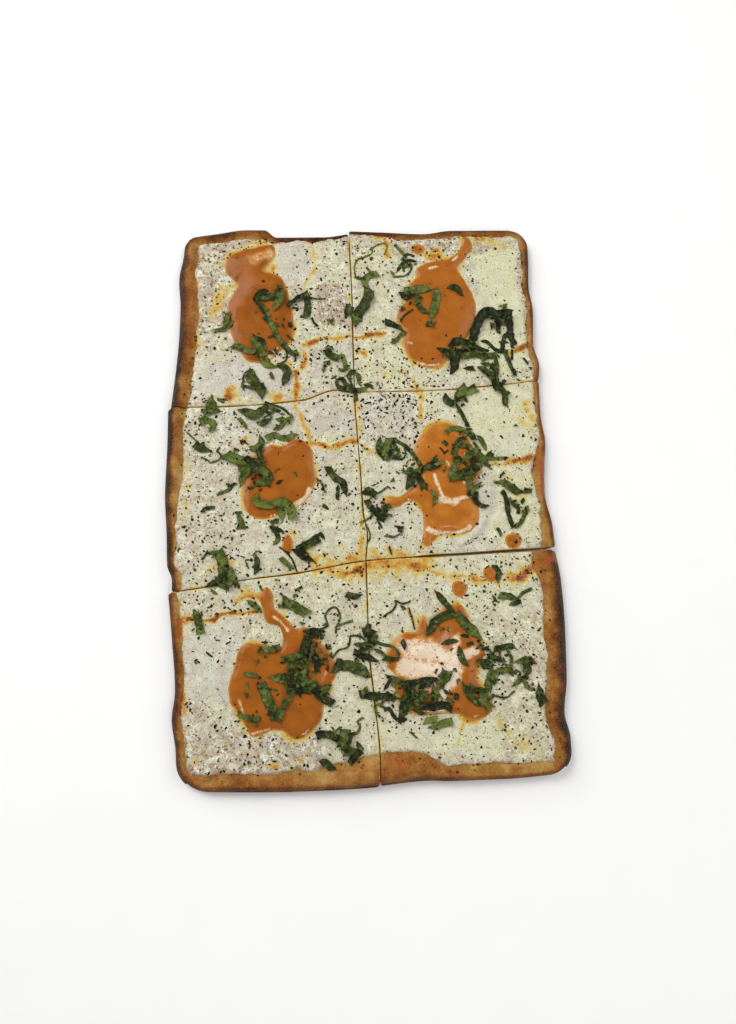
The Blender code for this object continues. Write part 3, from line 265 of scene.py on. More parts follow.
# Basil, one entry a bundle: each shred's width, then x and y of each point it passes.
BASIL = {
    "basil_pile_back_left": (
        (5, -91, 166, -88, 173, -83, 176, -77, 173), (5, -88, 169, -80, 170, -73, 172, -70, 178),
        (7, -66, 178, -70, 168, -75, 158), (4, -90, 169, -83, 161, -79, 152),
        (5, -83, 153, -77, 146, -72, 135, -66, 126, -60, 120, -54, 119),
    ),
    "basil_back_left_leaf": (
        (5, -111, 127, -104, 125, -97, 121, -89, 121), (8, -91, 136, -86, 130, -82, 121),
        (6, -93, 132, -88, 124, -83, 116), (6, -86, 119, -82, 110, -73, 108),
        (6.5, -72, 109, -64, 104, -65, 97, -68, 90), (1.5, -72, 109, -65, 113, -64, 120, -68, 127),
        (3, -78, 103, -76, 96),
    ),
    "basil_back_left_front": (
        (8, -97, 103, -92, 95, -87, 88, -83, 82), (1.5, -102, 96, -98, 103, -92, 105),
        (3, -103, 91, -95, 89, -89, 87), (4, -99, 99, -94, 91),
    ),
    "basil_back_left_strip": (
        (4.5, -63, 162, -57, 168, -49, 173, -42, 169), (1.2, -43, 170, -31, 169.7),
        (6, -48, 175, -45, 164, -47, 152), (2, -42, 152, -40, 147, -37, 144),
    ),
    "basil_back_left_fold": (
        (6, -31, 122, -27, 117, -19, 113), (2.5, -31, 122, -28, 124, -24, 122),
        (3.5, -17, 119, -15, 111, -14, 103), (3, -20, 104, -14, 102),
    ),
    "basil_back_cut": (
        (3, -22, 96, -21, 89, -16, 86, -8, 86), (3.5, -19, 98, -14, 91, -8, 87),
        (4, -13, 96, -9, 101, -5, 103), (4, -6, 102, -3, 97, -3, 90), (2, -11, 96, -9, 89),
        (5, -22, 88, -12, 86, -3, 85, 4, 88), (6, 1, 90, 9, 89), (3, -7, 86, -6, 80, -6, 75),
    ),
    "basil_back_right_leaf": (
        (9.5, -7, 147, -1, 156, 4, 164, 8, 173, 6, 182), (6, 6, 180, 5, 186, 9, 191, 17, 193),
        (2, 7, 200, 10, 195, 12, 191), (2.5, -4, 190, 2, 189, 6, 188),
        (1.3, -3, 190, -3.5, 200, -1, 207, 6, 210, 12, 213, 13, 218, 18, 222, 24, 223, 26, 220, 24, 213),
    ),
    "basil_back_right_tangle": (
        (2.6, 34, 195, 38, 202, 44, 206, 52, 205), (2.5, 36, 200, 42, 200, 47, 203),
        (1.6, 30, 190, 40, 191, 46, 196, 47, 202), (2.6, 33, 222, 38, 215, 43, 208),
        (2.2, 40, 208, 40, 195), (1.8, 38, 206, 44, 212, 50, 210),
    ),
    "basil_pile_back_right": (
        (9, 39, 175, 47, 176, 55, 177, 64, 178), (7, 68, 178, 67, 167, 64, 157, 62, 147),
        (5, 50, 173, 51, 163, 57, 154), (4, 36, 175, 40, 170, 47, 171), (5, 57, 144, 63, 143),
        (1.6, 46, 158, 38, 152, 35, 147),
    ),
    "basil_back_right_dab": ((5.5, 77, 178, 83, 178, 91, 171),),
    "basil_back_right_fork": ((5, 21, 147, 29, 144, 37, 140), (3.8, 38, 138, 32, 132, 27, 127)),
    "basil_back_right_heap": (
        (6, 66, 122, 71, 119, 78, 114), (9, 80, 118, 80, 108, 77, 98),
        (6, 75, 123, 83, 127, 92, 127, 98, 122), (5, 80, 120, 90, 118, 100, 121),
        (8, 96, 125, 99, 137, 104, 148, 110, 155, 119, 158), (9, 112, 153, 120, 152, 128, 154, 134, 156),
        (7, 117, 146, 124, 145, 131, 151), (6, 129, 154, 130, 142, 131, 132, 133, 123),
        (4, 120, 149, 120, 142, 120, 135), (4, 127, 136, 124, 128, 122, 119),
        (3, 104, 128, 110, 127, 115, 121, 120, 118, 127, 118), (5, 85, 113, 96, 115, 106, 114, 117, 114),
        (4, 92, 120, 102, 121, 109, 117), (3.5, 124, 120, 126, 112, 129, 104, 132, 96),
        (2, 131, 120, 130, 110), (6, 100, 105, 107, 100, 114, 93), (5, 103, 107, 111, 106),
        (4, 116, 113, 116, 100, 114, 91), (5, 112, 92, 118, 86, 121, 78, 121, 68), (5, 112, 91, 115, 81),
        (3, 123, 92, 119, 87), (3.5, 88, 103, 97, 103),
    ),
    "basil_middle_right_leaf": (
        (6, 71, 81, 71, 74, 78, 70), (8, 77, 71, 82, 78, 89, 87), (5, 80, 78, 90, 81, 98, 84),
        (3, 92, 86, 97, 87), (3, 86, 78, 89, 72), (3, 79, 71, 84, 61, 88, 50),
    ),
    "basil_pile_middle_right": (
        (4.5, 68, 45, 74, 48, 82, 48, 90, 44, 92, 38), (5, 87, 45, 93, 39), (4, 95, 42, 99, 37, 102, 29),
        (3, 106, 29, 101, 22), (3, 101, 22, 111, 22, 121, 22.5), (7, 88, 31, 94, 26, 99, 20, 105, 15),
        (5, 83, 42, 77, 34, 74, 26), (4, 77, 33, 85, 33, 90, 30), (5, 75, 28, 76, 18, 72, 12, 70, 5),
        (6, 69, 3, 76, 7, 84, 10, 93, 12), (6, 88, 21, 92, 17, 93, 10), (5, 90, 9, 86, 2, 86, -6, 84, -11),
        (4, 96, 0, 90, -4, 88, -11), (4, 91, -7, 91, -15, 99, -20), (4, 95, 33, 91, 26, 84, 22),
        (3, 78, 22, 84, 17, 88, 12),
    ),
    "basil_pile_middle": (
        (11, 14, 42, 13, 33, 16, 24), (7, 22, 42, 19, 34, 17, 26),
        (3.2, 24, 41, 35, 34, 41, 26, 46, 17, 48, 11), (1.4, 20, 32, 26, 31, 29, 30),
        (1.4, 22, 33, 23, 27, 29, 23, 33, 25, 34, 30, 33, 34), (2.5, 24, 39, 28, 30),
        (4, 18, 29, 25, 25, 30, 24), (7, 46, 14, 54, 16, 61, 18), (4, 57, 19, 60, 26),
        (5, 31, 12, 38, 12, 46, 13), (8, 41, 12, 38, 5, 33, -3), (5, 43, 10, 46, 3, 51, -4),
        (4, 53, -4, 57, -10, 55, -18),
    ),
    "basil_middle_cross": (
        (5, 0, -11, 3, -17, 8, -22), (8, 7, -20, 12, -25, 16, -27), (5, 12, -19, 20, -17),
        (1.5, -6, -30, 2, -26, 5, -22), (2, 8, -27, 12, -35), (2, 15, -24, 21, -24.5),
    ),
    "basil_middle_left_bend": ((5.5, -31, 18, -27, 10, -19, 4, -17, -7),),
    "basil_middle_right_plank": ((6.5, 109, 3, 118, -1, 128, -9), (1.2, 112, 5, 116, 10)),
    "basil_middle_right_fork": (
        (4, 113, -6, 116, -14, 117, -25, 120, -37), (3.5, 119, -38, 126, -34, 130, -28, 133, -21),
        (4, 118, -13, 122, -18, 127, -20),
    ),
    "basil_pile_middle_left": (
        (8, -115, 31, -107, 26, -98, 24, -90, 20, -80, 12, -77, 7),
        (6, -105, 17, -96, 18, -88, 16, -80, 11), (5, -96, 34, -90, 36, -86, 40, -87, 47),
        (8, -93, 33, -84, 36), (5, -103, 3, -101, 11, -95, 15), (6, -90, 4, -84, 6, -78, 6),
        (5, -88, 34, -87, 28, -84, 22), (6, -99, 27, -93, 21, -88, 14),
    ),
    "basil_middle_left_sunk": (
        (7, -90, -3, -90, -11, -80, -14, -70, -11, -62, -17, -61, -26), (6, -70, -15, -70, -27),
        (4, -79, -27, -72, -27),
    ),
    "basil_middle_left_fork": (
        (8, -105, 68, -97, 66, -89, 64, -83, 73), (3, -84, 73, -77, 70, -70, 67),
        (1.5, -84, 62, -77, 66, -73, 69), (6, -90, 58, -85, 57, -78, 62), (4, -76, 51, -69, 55, -67, 62),
        (2, -83, 76, -76, 73, -68, 70, -62, 64), (4, -67, 58, -61, 61, -60, 65),
    ),
    "basil_middle_left_clump": (
        (9, -130, 79, -125, 69), (6, -135, 67, -126, 69, -120, 68), (3, -123, 79, -117, 78),
    ),
    "basil_middle_left_curl": ((5, -138, 60, -131, 60, -126, 58, -127, 51), (4, -137, 63, -130, 62)),
    "basil_middle_left_angle": (
        (4, -58, -50, -47, -44, -39, -38), (3, -52, -50, -38, -44), (8, -58, -50, -51, -57, -45, -61),
        (3, -39, -37, -35, -43),
    ),
    "basil_front_cut_left": (
        (9, -121, -50, -118, -58, -116, -66, -117, -74, -117, -81), (5, -129, -52, -120, -51),
        (2, -134, -57, -129, -50), (5, -131, -78, -125, -76, -118, -73), (5, -127, -81, -122, -85),
        (6, -110, -64, -110, -70, -109, -78), (5, -115, -79, -109, -77), (2.5, -108, -74, -104, -80),
    ),
    "basil_front_left_plank": ((6, -140, -96, -137, -104, -134, -116),),
    "basil_front_left_leaf": ((8, -70, -91, -63, -95, -56, -99, -50, -103), (4, -73, -95, -68, -97)),
    "basil_pile_front_left": (
        (5, -52, -118, -46, -116, -40, -117), (8, -50, -120, -52, -130, -54, -140),
        (5, -70, -138, -62, -136, -54, -134), (6, -66, -142, -58, -142, -50, -140),
        (6, -48, -132, -43, -140, -44, -149), (8, -68, -160, -58, -160, -47, -161),
        (8, -60, -151, -52, -156, -43, -162), (6, -47, -160, -40, -168, -31, -173),
        (5, -34, -158, -38, -164, -39, -170), (7, -80, -152, -72, -152, -61, -150),
        (8, -87, -155, -83, -165, -78, -176, -75, -184), (5, -66, -167, -71, -176, -75, -184),
        (3, -100, -148, -92, -149, -87, -152), (4, -105, -177, -98, -181, -90, -182),
        (5, -87, -127, -80, -130, -72, -128), (6, -66, -148, -60, -156, -56, -166),
        (5, -50, -146, -54, -152, -62, -155),
    ),
    "basil_front_green_leaf": ((9.5, -30, -144, -20, -144, -10, -147, -2, -154),),
    "basil_front_left_leaves": (
        (6, -45, -196, -38, -195, -30, -198, -23, -204), (8, -22, -192, -24, -200, -26, -207),
        (7, -28, -201, -20, -208, -12, -211), (5, -20, -218, -16, -213, -10, -208),
        (4, -14, -203, -9, -208), (2, -19, -198, -13, -195, -11, -190, -13, -187, -8, -184),
        (1.5, -33, -190, -31, -193, -29, -198),
    ),
    "basil_front_spider": (
        (4, -1, -112, -3, -118, 0, -123), (6, -7, -118, 4, -119), (3.5, -14, -128, -6, -128, 3, -126),
        (4, 4, -120, 1, -127, -4, -131, -12, -134), (5, -14, -133, -8, -137, -3, -138, 4, -142),
        (2.5, 2, -126, 10, -129, 17, -131, 22, -138), (3, 2, -132, 8, -135, 12, -139, 21, -141),
        (2, 9, -140, 16, -141, 22, -139), (2, 0, -139, 5, -142),
    ),
    "basil_pile_front_right": (
        (6, -11, -166, 0, -168, 10, -169, 20, -170), (5, 11, -152, 16, -156, 22, -158, 30, -160),
        (3, 9, -164, 12, -159, 15, -155), (9, 28, -160, 27, -170, 24, -178, 21, -187),
        (8, 20, -158, 32, -161, 44, -158, 51, -156), (7, 33, -163, 30, -172, 26, -181),
        (6, 40, -165, 36, -172, 33, -177), (6, 47, -162, 48, -170, 47, -178),
        (5, 51, -155, 57, -153, 62, -151), (6, 50, -163, 56, -158, 60, -152),
        (3, 8, -179, 12, -178, 15, -183, 19, -187, 26, -187), (6, 35, -176, 45, -178, 55, -177, 61, -180),
        (5, 32, -181, 40, -183), (4, -9, -166, -4, -162),
    ),
    "basil_front_right_leaves": ((5, 38, -191, 43, -188, 49, -187), (6, 42, -194, 50, -192, 61, -189)),
    "basil_front_right_heap": (
        (6, 71, -160, 74, -167, 79, -174, 89, -178), (4, 76, -163, 83, -167, 89, -170),
        (6, 96, -149, 93, -158, 89, -169), (7, 86, -168, 86, -175, 94, -178),
        (7, 84, -146, 90, -146, 97, -147), (5, 97, -136, 104, -134, 114, -133),
        (4, 91, -139, 97, -142, 103, -144), (5, 89, -134, 94, -136), (2.5, 108, -136, 111, -143, 110, -150),
        (5, 97, -154, 103, -152, 110, -151), (1.5, 96, -171, 104, -173, 112, -168),
    ),
    "basil_front_right_arch": (
        (5, 53, -87, 60, -97, 67, -105), (8, 69, -108, 77, -117, 87, -127),
        (7, 44, -123, 48, -117, 53, -111, 62, -107, 70, -107), (5, 69, -132, 71, -142, 76, -148),
        (4, 56, -130, 62, -128, 69, -128), (4, 24, -126, 27, -132),
    ),
    "basil_front_right_chips": (
        (6, 114, -145, 121, -145, 129, -145), (6, 121, -145, 124, -156),
        (4, 121, -156, 115, -161, 110, -164), (3.5, 119, -158, 122, -165, 127, -168),
    ),
}

# Shreds that lie alone, one entry a slice.
LONE_BASIL = {
    "back_right": ((3, 28, 196, 31, 192), (2, 140, 112, 144, 106)),
    "back_left": (
        (3.5, -126, 141, -117, 143, -109, 149), (5, -114, 157, -115, 150, -117, 143),
        (6, -29, 151, -23, 146), (3, -33, 111, -27, 109.5), (3, -31, 110, -33, 101), (8, -13, 152, -8, 162),
        (2, -64, 136, -58, 131), (2.5, -60, 121, -54, 118),
    ),
    "middle_left": (
        (3.5, -105, 62, -100, 56, -98, 52), (1.5, -148, 51, -142, 45, -139, 42),
        (7, -141, 40, -135, 36, -128, 33),
        (1.5, -136, 29, -130, 26, -128, 24, -120, 27, -120, 31, -123, 34, -120, 37),
        (3, -114, 6, -112, 1, -122, -3), (6, -106, -20, -103, -26, -100, -32), (2, -108, -19, -102, -19),
        (2, -107, -32, -97, -31), (3, -134, -18, -132, -15, -124, -14),
        (4, -78, -31, -74, -37, -73, -42, -77, -46), (2.5, -78, -32, -71, -34, -68, -37),
        (5, -91, -54, -90, -60, -90, -69), (1.2, -93, -55, -91, -51.5, -87, -51),
        (1.2, -93, -58.5, -99, -58, -98, -62, -96.5, -65), (1.5, -72, -48, -66, -53, -61, -60, -58, -69),
        (4, -71, -57, -66, -62, -61, -66), (5, -82, 43, -76, 47, -70, 44, -63, 44, -58, 48),
        (3, -23, 3, -24, -10), (3, -36, -14, -31, -18), (1.5, -40, 8, -36, 3, -34, -4),
    ),
    "middle_right": (
        (7, -2, -3, 2, -4, 7, -6), (4, 0, -1, 8, -7), (6, 23, -34, 29, -37), (2, 14, -41, 22, -43),
        (1.2, -1, -31, 1, -36, 2, -42, 0, -46), (1.8, 17, -50, 19, -57),
        (1.5, 8, -7, 14, -3, 18, 0, 20, -2), (4, 131, -6, 138, -7), (2.5, 107, -37, 110, -44),
        (3, 127, 50, 130, 51), (2, 112, 6, 116, 10), (1.5, 20, -43, 27, -40),
    ),
    "front_left": (
        (4.5, -98, -91, -92, -95, -86, -100), (2, -88, -79, -86, -83), (5, -19, -88, -12, -90, -6, -89),
        (1.5, -42, -116, -37, -114, -34, -112, -36, -105, -33, -100, -28, -98, -25, -102, -24, -107, -27,
         -113, -28, -119),
        (2, -27, -113, -20, -111, -14, -109),
        (1.5, -31, -138, -26, -132, -19, -130, -17, -125, -16, -121, -8, -122, -5, -125),
        (6, -42, -217, -38, -216, -33, -222), (2, -60, -84, -54, -81), (1.5, -130, -130, -125, -134),
    ),
    "front_right": (
        (6, 104, -93, 110, -93, 119, -96), (2.5, 119, -96, 125, -91, 132, -88),
        (4, 112, -101, 118, -99, 122, -98), (2.5, 99, -92, 102, -98), (8, 132, -164, 132, -171, 134, -179),
        (1.5, 13, -105, 18, -102, 21, -97, 20, -94, 26, -97, 33, -95), (5, 24, -99, 29, -101),
        (1.2, 31, -100, 33, -108, 35, -118), (4.5, 102, -68, 105.5, -75, 103, -81), (6, 5, -176, 9, -177),
        (2, 1, -175, 2, -181, 5, -184), (1.5, 28, -196, 33, -201),
    ),
}

# Spots strewn with small scraps of basil: middle, half sizes, and how many, by slice.
SCRAPS = {
    "back_left": ((-80, 142, 13, 18, 8), (-84, 116, 12, 8, 8), (-92, 94, 12, 8, 5), (-50, 160, 8, 12, 3)),
    "back_right": (
        (52, 164, 16, 14, 7), (122, 150, 10, 8, 12), (88, 120, 14, 6, 8), (112, 104, 12, 10, 7),
        (42, 206, 8, 10, 4),
    ),
    "middle_left": (
        (-88, 10, 14, 16, 12), (-66, 12, 10, 9, 3), (-78, 62, 16, 9, 6), (-118, -70, 10, 12, 8),
        (-48, -50, 10, 10, 7), (-100, 38, 14, 6, 5),
    ),
    "middle_right": (
        (82, 22, 15, 22, 16), (60, 8, 10, 16, 5), (34, 16, 16, 14, 10), (10, -20, 8, 10, 5),
        (82, 72, 10, 8, 4), (122, -20, 9, 12, 4), (92, 40, 8, 8, 4),
    ),
    "front_left": (
        (-52, -148, 17, 20, 34), (-90, -160, 16, 22, 7), (-92, -182, 12, 6, 4), (-44, -118, 10, 6, 6),
        (-24, -202, 12, 9, 8), (-84, -128, 12, 4, 5), (-4, -128, 12, 12, 9), (-66, -96, 12, 8, 4),
        (-38, -140, 8, 14, 12),
    ),
    "front_right": (
        (36, -171, 22, 9, 24), (62, -148, 12, 12, 6), (92, -158, 9, 16, 12), (104, -146, 10, 10, 6),
        (74, -120, 12, 12, 5), (122, -152, 8, 10, 4), (50, -118, 8, 8, 3),
    ),
}

# Shade of a bundle's leaves where it isn't the usual one: 0 is nearly black and 1 is bright green.
SHADES = {
    "basil_front_green_leaf": 0.56, "basil_front_right_leaves": 0.5, "basil_middle_left_bend": 0.46,
    "basil_middle_left_curl": 0.6, "basil_back_right_heap": 0.2, "basil_pile_front_right": 0.25,
    "basil_pile_front_left": 0.28, "basil_back_left_strip": 0.3, "basil_middle_left_angle": 0.2,
    "basil_pile_back_left": 0.3, "basil_back_left_front": 0.5, "basil_middle_right_plank": 0.5,
    "basil_front_right_chips": 0.65, "basil_middle_left_sunk": 0.5, "basil_back_cut": 0.35,
}
USUAL_SHADE = 0.42

# Oil and sauce that soaked into the cheese: width, strength from faint yellow to deep orange, and x and y of
# each point of its route.
STAINS = (
    (2.2, 0.85, -50, 127, -45, 130, -38, 133, -7, 134, 20, 136), (2.5, 0.8, -50, 122, -49, 108),
    (2, 0.35, -43, 227, -41, 215, -40, 200, -45, 190, -48, 180),
    (1.5, 0.3, -145, 118, -128, 117, -110, 117), (2.6, 1.0, -56, 102, -59, 80), (5, 0.6, -77, 80, -72, 79),
    (4, 0.35, -104, 79, -96, 78), (3, 0.4, 46, 100, 47, 90, 48, 75, 46, 60),
    (1.3, 0.3, -5, 115, -2, 108, 0, 100), (4, 0.7, -2, 118, 2, 118),
    (3, 0.85, 131, 118, 140, 122, 148, 128), (2.5, 0.55, -60, 78, -57, 70, -52, 58, -48, 48, -45, 40),
    (3, 0.75, -45, 38, -35, 35, -27, 34, -20, 38, -12, 40, -7, 40), (2.5, 0.5, -4, 35, 5, 30, 9, 28),
    (4, 0.35, -7, 83, -6, 65, -6, 42), (2.5, 0.6, 105, 16, 120, 18, 132, 19, 148, 27),
    (4, 0.8, 146, 25, 147, 10, 147, -5), (6, 0.5, -45, -66, -30, -67, -15, -67, 0, -64),
    (14, 0.42, -42, -64, 0, -60, 46, -64), (2, 0.55, -4, -58, 18, -64, 40, -66),
    (8, 0.42, -20, -71, -8, -74, 6, -72), (4, 1.1, -18, -69, -9, -68), (4.5, 0.75, 33, -69, 38, -68),
    (6, 0.34, 60, -74, 110, -80, 136, -74), (6, 0.42, 0, -65, 22, -65, 45, -63),
    (6, 0.75, 38, -69, 43, -68), (7, 0.85, 150, -62, 140, -68, 128, -76, 118, -80),
    (1.5, 1.1, -145, -105, -130, -106, -122, -105, -115, -102, -88, -101),
    (2.5, 0.6, -108, -91, -98, -89, -88, -88), (5, 0.6, -152, -106, -147, -105),
    (2, 0.6, 45, -61, 50, -72, 75, -76, 110, -81, 130, -78), (1.4, 0.85, 31, -100, 34, -110, 35, -118),
    (1.8, 0.4, 68, -190, 67, -205), (2.2, 0.35, 3, -200, 3, -213),
    (6, 0.28, -30, -224, -15, -222, 5, -220, 28, -216), (3.4, 0.85, 6, -216, 14, -218, 22, -220),
    (2.5, 0.7, -100, 45, -100, 39), (5, 0.45, 96, -78, 102, -82), (3, 0.8, -151, -106, -152, -118),
    (3, 0.7, -146, -160, -145, -176), (2.6, 0.7, -79, -217, -77, -217), (3, 0.45, -137, -212, -136, -211),
    (2, 0.55, -59, -214, -57, -214), (2, 0.45, -117, -199, -116, -197), (2, 0.45, -106, -195, -105, -193),
    (2, 0.45, -95, -208, -94, -208), (5, 1.3, 150, 26, 149, 10, 149, -6),
    (3, 1.0, 146, 24, 138, 22, 126, 20), (2.2, 0.7, -12, -229, -9, -230), (1.6, 0.8, -18, -216, -16, -215),
    (2.4, 0.55, -66, -227, -63, -226), (4, 0.9, -113, 87, -113, 83), (9, 0.32, -112, 196, -118, 204),
    (6, 0.6, 66, 210, 75, 213), (3.2, 0.85, 67, 217, 70, 217.5), (4.5, 0.8, 23, 228, 26, 222),
    (4.5, 0.5, 24, 218, 25, 212), (3.2, 1.0, 107, 227, 112, 227), (6, 0.35, 116, 226, 130, 222),
    (7, 0.32, 140, 72, 145, 50), (9, 0.3, -80, 214, -76, 206), (5, 0.35, -72, 108, -60, 112),
    (7, 0.3, -64, -50, -62, -40), (3, 0.4, -4, -60, -3, -30, -4, -10),
    (7, 0.34, -100, -85, -80, -90, -72, -104), (6, 0.3, 40, -108, 42, -124),
    (8, 0.22, 132, 70, 134, 50, 131, 40), (9, 0.24, 118, 10, 130, -10, 128, -30),
    (6, 0.35, -144, 190, -146, 160, -143, 130), (9, 0.38, -122, 180, -125, 158),
    (4, 0.26, -150, 40, -146, 10, -150, -25), (5, 0.45, -52, -52, -46, -62), (4, 0.3, -8, 225, -8, 195),
    (3, 0.25, -7, 180, -7, 140), (7, 0.25, 20, 100, 52, 108), (5, 0.55, -113, 180, -105, 187),
    (4, 0.5, -75, 197, -71, 210), (3, 0.5, -100, 222, -80, 224), (6, 0.3, 48, -50, 44, -58),
    (8, 0.22, 104, -200, 125, -215), (8, 0.3, 95, -180, 98, -190), (6, 0.3, 12, -150, 10, -158),
    (5, 0.35, -112, -60, -128, -66), (4, 0.35, 0, -62, -2, -75),
)

# Patches of melted cheese, as left, front, right and back, with tint from lilac grey to greenish cream, and
# how far the surface is broken up into baked mottles.
PATCHES = (
    (-156, 192, -40, 236, 0.42, 0.95), (-150, 118, -116, 200, 0.75, 0.6), (-152, 142, -116, 196, 0.45, 1.1),
    (-44, 192, -8, 230, 0.6, 0.36), (-72, 188, -44, 228, 0.16, 0.14), (-50, 137, -8, 192, 0.55, 0.3),
    (-40, 148, -10, 182, 0.3, 1.1), (-146, 83, -60, 117, 0.05, 0.08), (-50, 90, -8, 130, 0.3, 0.3),
    (-8, 214, 152, 240, 0.35, 0.8), (0, 138, 48, 215, 0.65, 0.3), (0, 88, 60, 138, 0.78, 0.25),
    (100, 138, 147, 214, 0.8, 0.04), (96, 92, 150, 136, 0.8, 0.06), (140, 92, 156, 230, 0.5, 0.7),
    (-50, 45, -8, 80, 0.05, 0.28), (-160, -70, -108, 62, 0.36, 0.5), (-108, 44, -52, 76, 0.22, 0.3),
    (-42, -12, -5, 35, 0.42, 0.3), (-106, -62, -5, -14, 0.44, 0.3), (-160, 60, -110, 76, 0.3, 0.45),
    (0, 44, 45, 84, 0.18, 0.32), (52, 58, 92, 84, 0.6, 0.15), (88, 24, 148, 84, 0.75, 0.05),
    (104, 24, 146, 48, 0.45, 0.1), (100, -54, 148, 18, 0.85, 0.2), (0, -52, 44, -20, 0.25, 0.18),
    (0, -10, 36, 30, 0.4, 0.2), (90, -52, 106, 0, 0.1, 0.12), (54, -58, 100, -43, 0.2, 0.2),
    (-152, -166, -106, -108, 0.22, 0.12), (-152, -224, -40, -190, 0.2, 0.9),
    (-152, -192, -124, -164, 0.3, 0.65), (-34, -214, -2, -122, 0.6, 0.2), (-46, -116, 0, -74, 0.6, 0.35),
    (-152, -100, -60, -78, 0.4, 0.4), (48, -112, 142, -60, 0.72, 0.3), (94, -224, 142, -112, 0.75, 0.55),
    (5, -214, 96, -188, 0.62, 0.1), (2, -118, 46, -72, 0.45, 0.25),
)

# Folds in the melted cheese: width, height (negative for a hollow), and x and y of each point of its route.
# Raised folds are also tinted lilac grey along their ridges, a painted shade.
FOLDS = (
    (2.6, 0.9, 98, 20, 103, 5, 102, -12, 97, -28, 88, -43, 74, -51),
    (2.4, -0.6, 105, 14, 109, -4, 106, -22, 98, -38), (2.4, 0.6, 112, 8, 114, -12, 108, -32),
    (3.0, 0.7, 41, -82, 45, -94, 48, -107), (2.6, -0.5, 34, -80, 37, -94, 39, -106),
    (3.0, 0.6, 27, -84, 25, -98, 21, -112), (2.4, 0.6, 52, -12, 44, -4, 40, 4, 34, 10),
    (2.6, 0.6, 6, 60, 16, 52, 30, 50, 40, 56), (2.8, 0.5, -44, 118, -36, 108, -34, 96),
    (2.6, 0.5, -104, 196, -112, 186, -121, 170, -120, 150), (2.6, -0.5, -128, 196, -130, 170),
    (3.0, 0.6, -108, -118, -116, -134, -118, -158, -110, -176), (2.6, 0.5, -28, -176, -22, -160),
    (2.8, 0.6, 104, -124, 108, -142, 104, -160, 108, -180), (2.4, -0.4, 100, -128, 102, -150),
    (2.6, 0.6, -34, 26, -36, 8, -42, -10, -50, -22, -66, -30), (2.4, 0.5, -104, 30, -108, 8),
    (2.8, 0.5, -20, 206, -30, 196, -32, 180), (2.4, 0.5, 104, 190, 106, 172, 108, 160),
    (2.6, 0.5, 28, 130, 26, 148, 28, 166, 36, 182), (3.0, 0.5, 60, -196, 44, -192, 26, -190),
)

# Where dried herbs lie thickest: middle, half sizes, and how many more to the square centimetre.
HERB_SPOTS = (
    (28, 78, 30, 36, 12.0), (-18, 100, 26, 20, 1.6), (-25, 0, 34, 40, 1.0), (22, -18, 28, 36, 0.9),
    (120, -70, 26, 12, 4.0), (24, 118, 38, 16, 3.0), (-26, -100, 30, 20, 1.0), (6, -196, 22, 14, 1.2),
    (-26, 150, 22, 42, 2.4), (-62, -36, 40, 20, 0.9), (-110, 0, 30, 40, 0.5), (110, -100, 26, 18, 0.7),
    (-95, 100, 26, 14, 0.8), (-100, -76, 24, 10, 1.0), (10, 200, 26, 18, 0.7), (44, 96, 14, 12, 2.0),
    (-15, -175, 16, 26, 0.7), (125, -190, 18, 22, 0.6), (-115, 175, 16, 40, 0.6),
)

# Flakes to the square centimetre everywhere, and the smallest and largest flake.
HERB_BASE = 3.1
HERB_SIZE = (1.3, 4.6)

# Grid lines over a rim, as shares of its width, and over the ends of the cheese, in millimetres.
RIM_LINES = (0, 0.05, 0.1, 0.16, 0.23, 0.31, 0.4, 0.5, 0.6, 0.7, 0.8, 0.9)
CHEESE_RIM_LINES = (0.0, 0.35, 0.8, 1.4, 2.2, 3.2)
CHEESE_CUT_LINES = (0.0, 0.3, 0.7, 1.3, 2.1, 3.1)
# Height at which an outer side has its full lean.
FULL_LEAN = 6.5
# A distance greater than any that counts.
FAR = 99.0
# Depth of a small drop, and the cell of its grid.
DROP_DEPTH = 1.3
DROP_CELL = 0.8

# Square soft lights: size in metres, watts, place and aim.
LAMPS = {
    "left_box": (1.8, 27.0, (-1.3, 1.1, 1.3), (0, 0, 0)),
    "right_box": (1.8, 14.0, (1.4, 0.3, 1.3), (0, 0, 0)),
    "key": (0.6, 9.5, (-0.75, 0.75, 1.5), (0, 0, 0)),
    "front": (0.25, 4.0, (0.35, -1.1, 1.2), (0, 0, 0)),
    "glare": (0.12, 0.5, (0.195, -0.135, 1.5), (0.02, -0.14, 0)),
}


def tone(red: float, green: float, blue: float) -> tuple[float, float, float, float]:
    """Turn a colour as a screen shows it, 0 to 255, into the linear one that a shader takes."""
    linear = [((c / 255 + 0.055) / 1.055) ** 2.4 if c > 10 else c / 255 / 12.92 for c in (red, green, blue)]
    return (*linear, 1.0)


def smooth_line(points: Points) -> Curve:
    """Make a function that follows (along, across) points without corners.

    Args:
        points: The points, with rising first values.

    Returns:
        A function from positions along to positions across.
    """
    along, across = np.array(points, float).T
    rise = np.diff(across) / np.diff(along)
    turn = rise[1:] * rise[:-1] > 0
    inner = np.where(turn, 2 * rise[1:] * rise[:-1] / np.where(turn, rise[1:] + rise[:-1], 1), 0)
    slope = np.concatenate([rise[:1], inner, rise[-1:]])

    def value(t: Array) -> Array:
        """Find the position across.

        Args:
            t: Positions along.

        Returns:
            Positions across.
        """
        t = np.clip(t, along[0], along[-1])
        i = np.clip(np.searchsorted(along, t) - 1, 0, len(along) - 2)
        step = along[i + 1] - along[i]
        s = (t - along[i]) / step
        near = (1 + 2 * s) * (1 - s) ** 2 * across[i] + s * (1 - s) ** 2 * step * slope[i]
        return near + s * s * (3 - 2 * s) * across[i + 1] + s * s * (s - 1) * step * slope[i + 1]

    return value


def pairs(numbers: Sequence[float]) -> Points:
    """Take numbers two by two, as points."""
    return list(zip(numbers[::2], numbers[1::2]))


